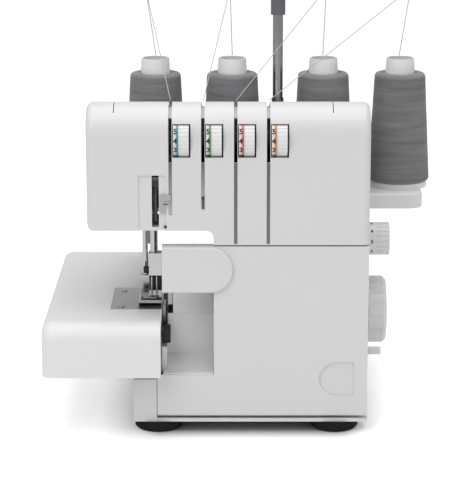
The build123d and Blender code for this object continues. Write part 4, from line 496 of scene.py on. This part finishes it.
DIGIT_STEP = math.radians(27)
DIGIT_IN_FRONT = 4
DIGIT_SHARE = 0.40
DIGIT_CURVES = 3
PRINT_AND_SHADOW_BLACK = (0.01, 0.01, 0.01, 1)
dial_print = finish("dial_print", PRINT_AND_SHADOW_BLACK, PRINT_AND_SHADOW_BLACK, roughness=0.5, bump=0.0)


def box_of(name):
    """The two corners of a CAD piece, and the point halfway between them."""
    low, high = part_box(name)
    return low, high, (Vector(low) + Vector(high)) / 2


def ring_band(low, high, middle, radius):
    """A thin closed band round a line along X from low to high, standing just off the dial."""
    bm = bmesh.new()
    inner = radius - RING_THICK
    section = ((low, inner), (low, radius), (high, radius), (high, inner))
    rings = []
    for side in range(RING_SIDES):
        angle = 2 * math.pi * side / RING_SIDES
        rings.append([bm.verts.new((along, middle.y + reach * math.cos(angle),
                                    middle.z + reach * math.sin(angle))) for along, reach in section])
    skin(bm, rings, closed=True)
    return bm


def letter_mesh(text, height):
    """Flat printed figures as a mesh, centred on the origin in the XY plane."""
    curve = bpy.data.curves.new("figure", "FONT")
    curve.body = text
    curve.size = height
    curve.offset = DIGIT_WEIGHT
    curve.align_x = "CENTER"
    curve.align_y = "CENTER"
    curve.resolution_u = DIGIT_CURVES
    shape = bpy.data.objects.new("figure", curve)
    bpy.context.scene.collection.objects.link(shape)
    bpy.context.view_layer.update()
    mesh = bpy.data.meshes.new_from_object(shape.evaluated_get(bpy.context.evaluated_depsgraph_get()))
    bpy.data.objects.remove(shape)
    return mesh


def figures_round(texts, height, step, in_front, place, radius):
    """Figures printed round a dial about a place on its axis, with one of them upright at the front."""
    bm = bmesh.new()
    out = Matrix.Translation((0, -radius - DIGIT_STAND, 0))
    for order, text in enumerate(texts):
        mesh = letter_mesh(text, height)
        turn = Matrix.Rotation(-step * (order - in_front), 4, "X")
        mesh.transform(Matrix.Translation(place) @ turn @ out @ TO_FRONT)
        bm.from_mesh(mesh)
        bpy.data.meshes.remove(mesh)
    return bm


for number, colour_name in enumerate(STRIPE_COLOURS, start=1):
    dial_name = f"tension_dial_{number}"
    dial_low, dial_high, dial_middle = box_of(dial_name)
    band_radius = (dial_high[2] - dial_low[2]) / 2 + RING_STAND
    band_end = dial_low[0] + RING_WIDTH
    stripe_colour = STRIPE_COLOURS[colour_name]
    pale_colour = DIAL_PALES[colour_name]
    wheel_plastic = finish(f"dial_plastic_{colour_name}", DIAL_WHITE, HOUSING_WHITE, roughness=0.35,
                           patch=40.0, coat=0.1)
    # The ribbed wheel turns black at its right end: painted shadow of the gap beside the window.
    shade_along(wheel_plastic, "X", band_end, dial_high[0],
                ((0, pale_colour), (TINT_SHARE, DIAL_WHITE),
                 (DIAL_SHADOW_START, DIAL_WHITE), (DIAL_SHADOW_FULL, PRINT_AND_SHADOW_BLACK)))
    paint(wheel_plastic, dial_name)
    band_plastic = finish(f"dial_band_{colour_name}", DIAL_WHITE, DIAL_WHITE, roughness=0.35, bump=0.05)
    shade_along(band_plastic, "X", dial_low[0], band_end,
                ((0, DIAL_WHITE), (STRIPE_START, pale_colour),
                 (STRIPE_FULL, stripe_colour), (1, stripe_colour)))
    band = ring_band(dial_low[0], band_end, dial_middle, band_radius)
    piece_from(f"dial_band_{number}", band, band_plastic, dial_name)
    dial_middle.x = dial_low[0] + RING_WIDTH * DIGIT_SHARE
    figures = figures_round(DIGITS, DIGIT_HEIGHT, DIGIT_STEP, DIGIT_IN_FRONT, dial_middle, band_radius)
    piece_from(f"dial_figures_{number}", figures, dial_print, dial_name)

# Stitch length dial figures: the numbers that set the length.
# Printed in black round the smooth skirt of the dial, next to the housing.
LENGTH_DIGITS = "12345"
LENGTH_DIGIT_HEIGHT = 4.2 * MILLIMETRE
LENGTH_STEP = math.radians(38)
LENGTH_IN_FRONT = 2
SKIRT_FROM_END = 16 * MILLIMETRE
length_low, length_high, length_middle = box_of("stitch_length_dial")
length_radius = (length_high[2] - length_low[2]) / 2
length_middle.x = length_high[0] - SKIRT_FROM_END
length_figures = figures_round(LENGTH_DIGITS, LENGTH_DIGIT_HEIGHT, LENGTH_STEP, LENGTH_IN_FRONT,
                               length_middle, length_radius)
piece_from("stitch_length_figures", length_figures, dial_print, "stitch_length_dial")

# Cone cores and seats: thin tapered tubes and rings of pale translucent polypropylene.
# The cores stand a little out of the top of the winding; the seats push on to the spool pins.
CORE_PALE = (0.80, 0.81, 0.81, 1)
CORE_SHADE = (0.74, 0.75, 0.75, 1)
core_plastic = finish("core_plastic", CORE_PALE, CORE_SHADE, roughness=0.35, patch=50.0, coat=0.1)
paint(core_plastic, "cone_cores", "cone_seats")

# Thread cones: dark grey polyester thread, cross wound on the cores.
# A smooth tapered body carries many thin strands that run up and down round it at a shallow angle.
THREAD_DARK = (0.10, 0.098, 0.105, 1)
THREAD_LIGHT = (0.30, 0.294, 0.304, 1)
THREAD_STREAKS = (0.35, 0.35, 4)
THREAD_SHEEN = 0.25
CONE_SPACING = (-115.5 * MILLIMETRE, -43 * MILLIMETRE, 43 * MILLIMETRE, 115.5 * MILLIMETRE)
CONE_EDGE = 3 * MILLIMETRE
CONE_TAPER = 5.2 * MILLIMETRE
CONE_SIDES = 96
SHOULDER_STEPS = 6
CORE_AT_TOP = 13.6 * MILLIMETRE
CORE_AT_FOOT = 21.2 * MILLIMETRE
STRAND_RADIUS = 0.24 * MILLIMETRE
STRAND_SIDES = 4
STRAND_PARTS = 30
STRANDS_EACH_WAY = 84
STRAND_TURNS = 1.6
STRAND_INPUTS = (("Foot radius", "NodeSocketFloat"), ("Top radius", "NodeSocketFloat"),
                 ("Height", "NodeSocketFloat"), ("Turns", "NodeSocketFloat"), ("Strands", "NodeSocketInt"),
                 ("Strand radius", "NodeSocketFloat"), ("Foot", "NodeSocketVector"))
wound_thread = finish("wound_thread", THREAD_DARK, THREAD_LIGHT, roughness=0.72, patch=55.0, grain=700.0,
                      stretch=THREAD_STREAKS, bump=0.4, depth=0.0001)
wound_thread.node_tree.nodes["Principled BSDF"].inputs["Sheen Weight"].default_value = THREAD_SHEEN


def strand_tree():
    """Many thin strands laid round a cone, half of them winding each way."""
    tree = bpy.data.node_groups.new("cross_wound_strands", "GeometryNodeTree")
    face = tree.interface
    wanted = {}
    for label, kind in STRAND_INPUTS:
        wanted[label] = face.new_socket(label, in_out="INPUT", socket_type=kind).identifier
    face.new_socket("Geometry", in_out="OUTPUT", socket_type="NodeSocketGeometry")
    nodes = tree.nodes
    link = tree.links.new
    source = nodes.new("NodeGroupInput")
    together = nodes.new("GeometryNodeJoinGeometry")
    section = nodes.new("GeometryNodeCurvePrimitiveCircle")
    section.inputs["Resolution"].default_value = STRAND_SIDES
    link(source.outputs["Strand radius"], section.inputs["Radius"])
    for reverse in (False, True):
        spiral = nodes.new("GeometryNodeCurveSpiral")
        spiral.inputs["Resolution"].default_value = STRAND_PARTS
        spiral.inputs["Reverse"].default_value = reverse
        link(source.outputs["Turns"], spiral.inputs["Rotations"])
        link(source.outputs["Foot radius"], spiral.inputs["Start Radius"])
        link(source.outputs["Top radius"], spiral.inputs["End Radius"])
        link(source.outputs["Height"], spiral.inputs["Height"])
        tube = nodes.new("GeometryNodeCurveToMesh")
        link(spiral.outputs["Curve"], tube.inputs["Curve"])
        link(section.outputs["Curve"], tube.inputs["Profile Curve"])
        spots = nodes.new("GeometryNodePoints")
        link(source.outputs["Strands"], spots.inputs["Count"])
        link(source.outputs["Foot"], spots.inputs["Position"])
        step = nodes.new("ShaderNodeMath")
        step.operation = "DIVIDE"
        step.inputs[0].default_value = 2 * math.pi
        link(source.outputs["Strands"], step.inputs[1])
        order = nodes.new("GeometryNodeInputIndex")
        angle = nodes.new("ShaderNodeMath")
        angle.operation = "MULTIPLY"
        link(order.outputs["Index"], angle.inputs[0])
        link(step.outputs["Value"], angle.inputs[1])
        turn = nodes.new("ShaderNodeCombineXYZ")
        link(angle.outputs["Value"], turn.inputs["Z"])
        spread = nodes.new("GeometryNodeInstanceOnPoints")
        link(spots.outputs["Points"], spread.inputs["Points"])
        link(tube.outputs["Mesh"], spread.inputs["Instance"])
        link(turn.outputs["Vector"], spread.inputs["Rotation"])
        link(spread.outputs["Instances"], together.inputs["Geometry"])
    real = nodes.new("GeometryNodeRealizeInstances")
    link(together.outputs["Geometry"], real.inputs["Geometry"])
    coat = nodes.new("GeometryNodeSetMaterial")
    coat.inputs["Material"].default_value = wound_thread
    link(real.outputs["Geometry"], coat.inputs["Geometry"])
    sink = nodes.new("NodeGroupOutput")
    link(coat.outputs["Geometry"], sink.inputs["Geometry"])
    return tree, wanted


strands, strand_inputs = strand_tree()


def strand_mesh(values):
    """The strands of one cone as a plain mesh."""
    holder = bpy.data.objects.new("strand_holder", bpy.data.meshes.new("strand_holder"))
    bpy.context.scene.collection.objects.link(holder)
    layer = holder.modifiers.new("strands", "NODES")
    layer.node_group = strands
    for label, value in values.items():
        layer[strand_inputs[label]] = value
    bpy.context.view_layer.update()
    made = bpy.data.meshes.new_from_object(holder.evaluated_get(bpy.context.evaluated_depsgraph_get()))
    bpy.data.objects.remove(holder)
    return made


def turned_body(centre, profile):
    """A closed solid of revolution about an upright line, from (radius, height) pairs."""
    bm = bmesh.new()
    angles = [2 * math.pi * side / CONE_SIDES for side in range(CONE_SIDES)]
    rings = [[bm.verts.new((centre[0] + radius * math.cos(angle), centre[1] + radius * math.sin(angle),
                            height)) for angle in angles] for radius, height in profile]
    skin(bm, rings, closed=True, smooth=True)
    return bm


cones_low, cones_high, cones_middle = box_of("thread_cones")
cone_radius = (cones_high[1] - cones_low[1]) / 2 - STRAND_RADIUS
top_radius = cone_radius - CONE_TAPER
mast_x = box_of("mast_outer_tube")[2].x
foot_z = cones_low[2]
top_z = cones_high[2]
cone_profile = [(CORE_AT_FOOT, foot_z)]
shoulder_angles = [math.radians(90) * step / SHOULDER_STEPS for step in range(SHOULDER_STEPS + 1)]
for angle in shoulder_angles:
    cone_profile.append((cone_radius - CONE_EDGE + CONE_EDGE * math.sin(angle),
                         foot_z + CONE_EDGE - CONE_EDGE * math.cos(angle)))
for angle in shoulder_angles:
    cone_profile.append((top_radius - CONE_EDGE + CONE_EDGE * math.cos(angle),
                         top_z - CONE_EDGE + CONE_EDGE * math.sin(angle)))
cone_profile.append((CORE_AT_TOP, top_z))
for number, offset in enumerate(CONE_SPACING, start=1):
    cone_x = mast_x + offset
    cone = turned_body((cone_x, cones_middle.y), cone_profile)
    winding = strand_mesh({"Foot radius": cone_radius, "Top radius": top_radius,
                           "Height": top_z - foot_z - 2 * CONE_EDGE, "Turns": STRAND_TURNS,
                           "Strands": STRANDS_EACH_WAY, "Strand radius": STRAND_RADIUS,
                           "Foot": (cone_x, cones_middle.y, foot_z + CONE_EDGE)})
    cone.from_mesh(winding)
    bpy.data.meshes.remove(winding)
    piece_from(f"thread_cone_{number}", cone, wound_thread, "machine")
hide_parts("thread_cones")

# Threads: fine polyester from each cone up to its eye on the guide bar, then down to the machine.
# They are pulled taut.
LOOSE_THREAD = (0.50, 0.495, 0.50, 1)
LOOSE_SHADE = (0.40, 0.395, 0.40, 1)
RUN_RADIUS = 0.36 * MILLIMETRE
RUN_SIDES = 8
RUN_PARTS = 12
EYE_SPACING = (-124 * MILLIMETRE, -45 * MILLIMETRE, 45 * MILLIMETRE, 124 * MILLIMETRE)
EYE_SPREAD = 1.0 * MILLIMETRE
RIM_FROM_CENTRE = 12.2 * MILLIMETRE
run_thread = finish("run_thread", LOOSE_THREAD, LOOSE_SHADE, roughness=0.7, patch=900.0, grain=3000.0,
                    bump=0.3)


def taut_thread(name, start, end):
    """A round thread drawn straight from start to end."""
    along = (end - start).normalized()
    side = along.cross(Vector((0, 1, 0))).normalized()
    up = along.cross(side)
    bm = bmesh.new()
    angles = [2 * math.pi * spot / RUN_SIDES for spot in range(RUN_SIDES)]
    rings = []
    for part in range(RUN_PARTS + 1):
        centre = start.lerp(end, part / RUN_PARTS)
        rings.append([bm.verts.new(centre + RUN_RADIUS * (side * math.cos(angle) + up * math.sin(angle)))
                      for angle in angles])
    skin(bm, rings, smooth=True)
    made = piece_from(name, bm, run_thread, "machine")
    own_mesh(made)
    return made


up_low, up_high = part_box("threads_up")
down_low, down_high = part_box("threads_down")
runs = zip(CONE_SPACING, EYE_SPACING, SLOT_PLACES)
for number, (cone_offset, eye_offset, slot_place) in enumerate(runs, start=1):
    eye_x = mast_x + eye_offset
    rim = Vector((mast_x + cone_offset, cones_middle.y + RIM_FROM_CENTRE, up_low[2] + RUN_RADIUS))
    eye_back = Vector((eye_x, cones_middle.y + EYE_SPREAD, up_high[2] - RUN_RADIUS))
    taut_thread(f"thread_up_{number}", rim, eye_back)
    landing = Vector((drawn((slot_place, 0, 0)).x, down_low[1] + RUN_RADIUS, down_low[2] + RUN_RADIUS))
    eye_front = Vector((eye_x, cones_middle.y - EYE_SPREAD, down_high[2] - RUN_RADIUS))
    taut_thread(f"thread_down_{number}", landing, eye_front)
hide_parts("threads_up")
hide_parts("threads_down")

# Studio floor: a pale, matt plane under the machine.
# To the camera it glows white, and towards the footprint of the machine its colour darkens softly as a
# painted contact shadow.
FLOOR_SIZE = 8.0
FLOOR_COLOUR = (0.9, 0.9, 0.9, 1)
FLOOR_ROUGHNESS = 0.9
WHITE = (1, 1, 1, 1)
FOOTPRINT_MIDDLE = (0.005, 0.0125, 0.0)
FOOTPRINT_HALF = (0.076, 0.116, 1.0)
GLOW_REACH = 0.06
GLOW_UNDER = 0.0
GLOW_AROUND = 0.5
SHADE_REACH = 0.022
SHADE_UNDER = 0.25
DISTANCE_STEPS = (("SUBTRACT", FOOTPRINT_MIDDLE), ("ABSOLUTE", None), ("SUBTRACT", FOOTPRINT_HALF),
                  ("MAXIMUM", (0, 0, 0)), ("LENGTH", None))
scene = bpy.context.scene
scene.view_settings.view_transform = "Standard"
bpy.ops.mesh.primitive_plane_add(size=FLOOR_SIZE)
floor = bpy.context.object
floor.name = "studio_floor"
floor_paint = bpy.data.materials.new("studio_floor")
floor_paint.use_nodes = True
floor_nodes = floor_paint.node_tree.nodes
floor_link = floor_paint.node_tree.links.new
floor_shader = floor_nodes["Principled BSDF"]
floor_shader.inputs["Roughness"].default_value = FLOOR_ROUGHNESS
floor_shader.inputs["Emission Color"].default_value = WHITE
seen = floor_nodes.new("ShaderNodeLightPath").outputs["Is Camera Ray"]
reached = floor_nodes.new("ShaderNodeTexCoord").outputs["Object"]
for operation, value in DISTANCE_STEPS:
    floor_step = floor_nodes.new("ShaderNodeVectorMath")
    floor_step.operation = operation
    if value is not None:
        floor_step.inputs[1].default_value = value
    floor_link(reached, floor_step.inputs[0])
    reached = floor_step.outputs["Value" if operation == "LENGTH" else "Vector"]


def by_distance(reach, under, around):
    """A value that goes from under to around over a reach outside the footprint."""
    blend = floor_nodes.new("ShaderNodeMapRange")
    blend.inputs["From Max"].default_value = reach
    blend.inputs["To Min"].default_value = under
    blend.inputs["To Max"].default_value = around
    floor_link(reached, blend.inputs["Value"])
    return blend.outputs["Result"]


glow_seen = floor_nodes.new("ShaderNodeMath")
glow_seen.operation = "MULTIPLY"
floor_link(by_distance(GLOW_REACH, GLOW_UNDER, GLOW_AROUND), glow_seen.inputs[0])
floor_link(seen, glow_seen.inputs[1])
floor_link(glow_seen.outputs["Value"], floor_shader.inputs["Emission Strength"])
# For camera rays the floor colour darkens towards the footprint: a painted contact shadow.
floor_shadow_paint = floor_nodes.new("ShaderNodeMix")
floor_shadow_paint.data_type = "RGBA"
floor_shadow_paint.inputs["A"].default_value = FLOOR_COLOUR
floor_link(by_distance(SHADE_REACH, SHADE_UNDER, FLOOR_COLOUR[0]), floor_shadow_paint.inputs["B"])
floor_link(seen, floor_shadow_paint.inputs["Factor"])
floor_link(floor_shadow_paint.outputs["Result"], floor_shader.inputs["Base Color"])
floor.data.materials.append(floor_paint)

# Studio light: a white surround, dimmer as a light than it looks to the camera, and three soft lamps.
# Each lamp is a square panel aimed at the middle of the machine.
WORLD_LEVEL = 0.55
WORLD_SEEN = 1.0
LAMP_TARGET = Vector((0, 0, 0.15))
LAMP_PLACES = {"lamp_above": (0.0, -0.2, 1.6), "lamp_left": (-0.9, -1.6, 1.5), "lamp_right": (1.5, -1.0, 0.9)}
LAMP_SIZES = {"lamp_above": 1.6, "lamp_left": 1.0, "lamp_right": 1.0}
LAMP_POWERS = {"lamp_above": 13, "lamp_left": 9, "lamp_right": 0.5}
world = bpy.data.worlds.new("studio_surround")
world.use_nodes = True
scene.world = world
surround = world.node_tree.nodes["Background"]
surround.inputs["Color"].default_value = WHITE
world_ray = world.node_tree.nodes.new("ShaderNodeLightPath")
world_level = world.node_tree.nodes.new("ShaderNodeMapRange")
world_level.inputs["To Min"].default_value = WORLD_LEVEL
world_level.inputs["To Max"].default_value = WORLD_SEEN
world.node_tree.links.new(world_ray.outputs["Is Camera Ray"], world_level.inputs["Value"])
world.node_tree.links.new(world_level.outputs["Result"], surround.inputs["Strength"])
for lamp_name, lamp_place in LAMP_PLACES.items():
    panel = bpy.data.lights.new(lamp_name, "AREA")
    panel.size = LAMP_SIZES[lamp_name]
    panel.energy = LAMP_POWERS[lamp_name]
    lamp = bpy.data.objects.new(lamp_name, panel)
    lamp.location = lamp_place
    lamp.rotation_euler = (LAMP_TARGET - Vector(lamp_place)).to_track_quat("-Z", "Y").to_euler()
    scene.collection.objects.link(lamp)

# Camera: it stands where the photograph was taken from.
# It looks a little down at the front of the machine through a long lens.
CAMERA_PLACE = (-0.010, -1.8575, 0.597)
CAMERA_DOWN = math.radians(13.7)
CAMERA_LENS = 160.0
SENSOR_WIDTH = 36.0
lens = bpy.data.cameras.new("photograph_camera")
lens.lens = CAMERA_LENS
lens.sensor_fit = "HORIZONTAL"
lens.sensor_width = SENSOR_WIDTH
camera = bpy.data.objects.new("photograph_camera", lens)
camera.location = CAMERA_PLACE
camera.rotation_euler = (math.radians(90) - CAMERA_DOWN, 0, 0)
scene.collection.objects.link(camera)
scene.camera = camera
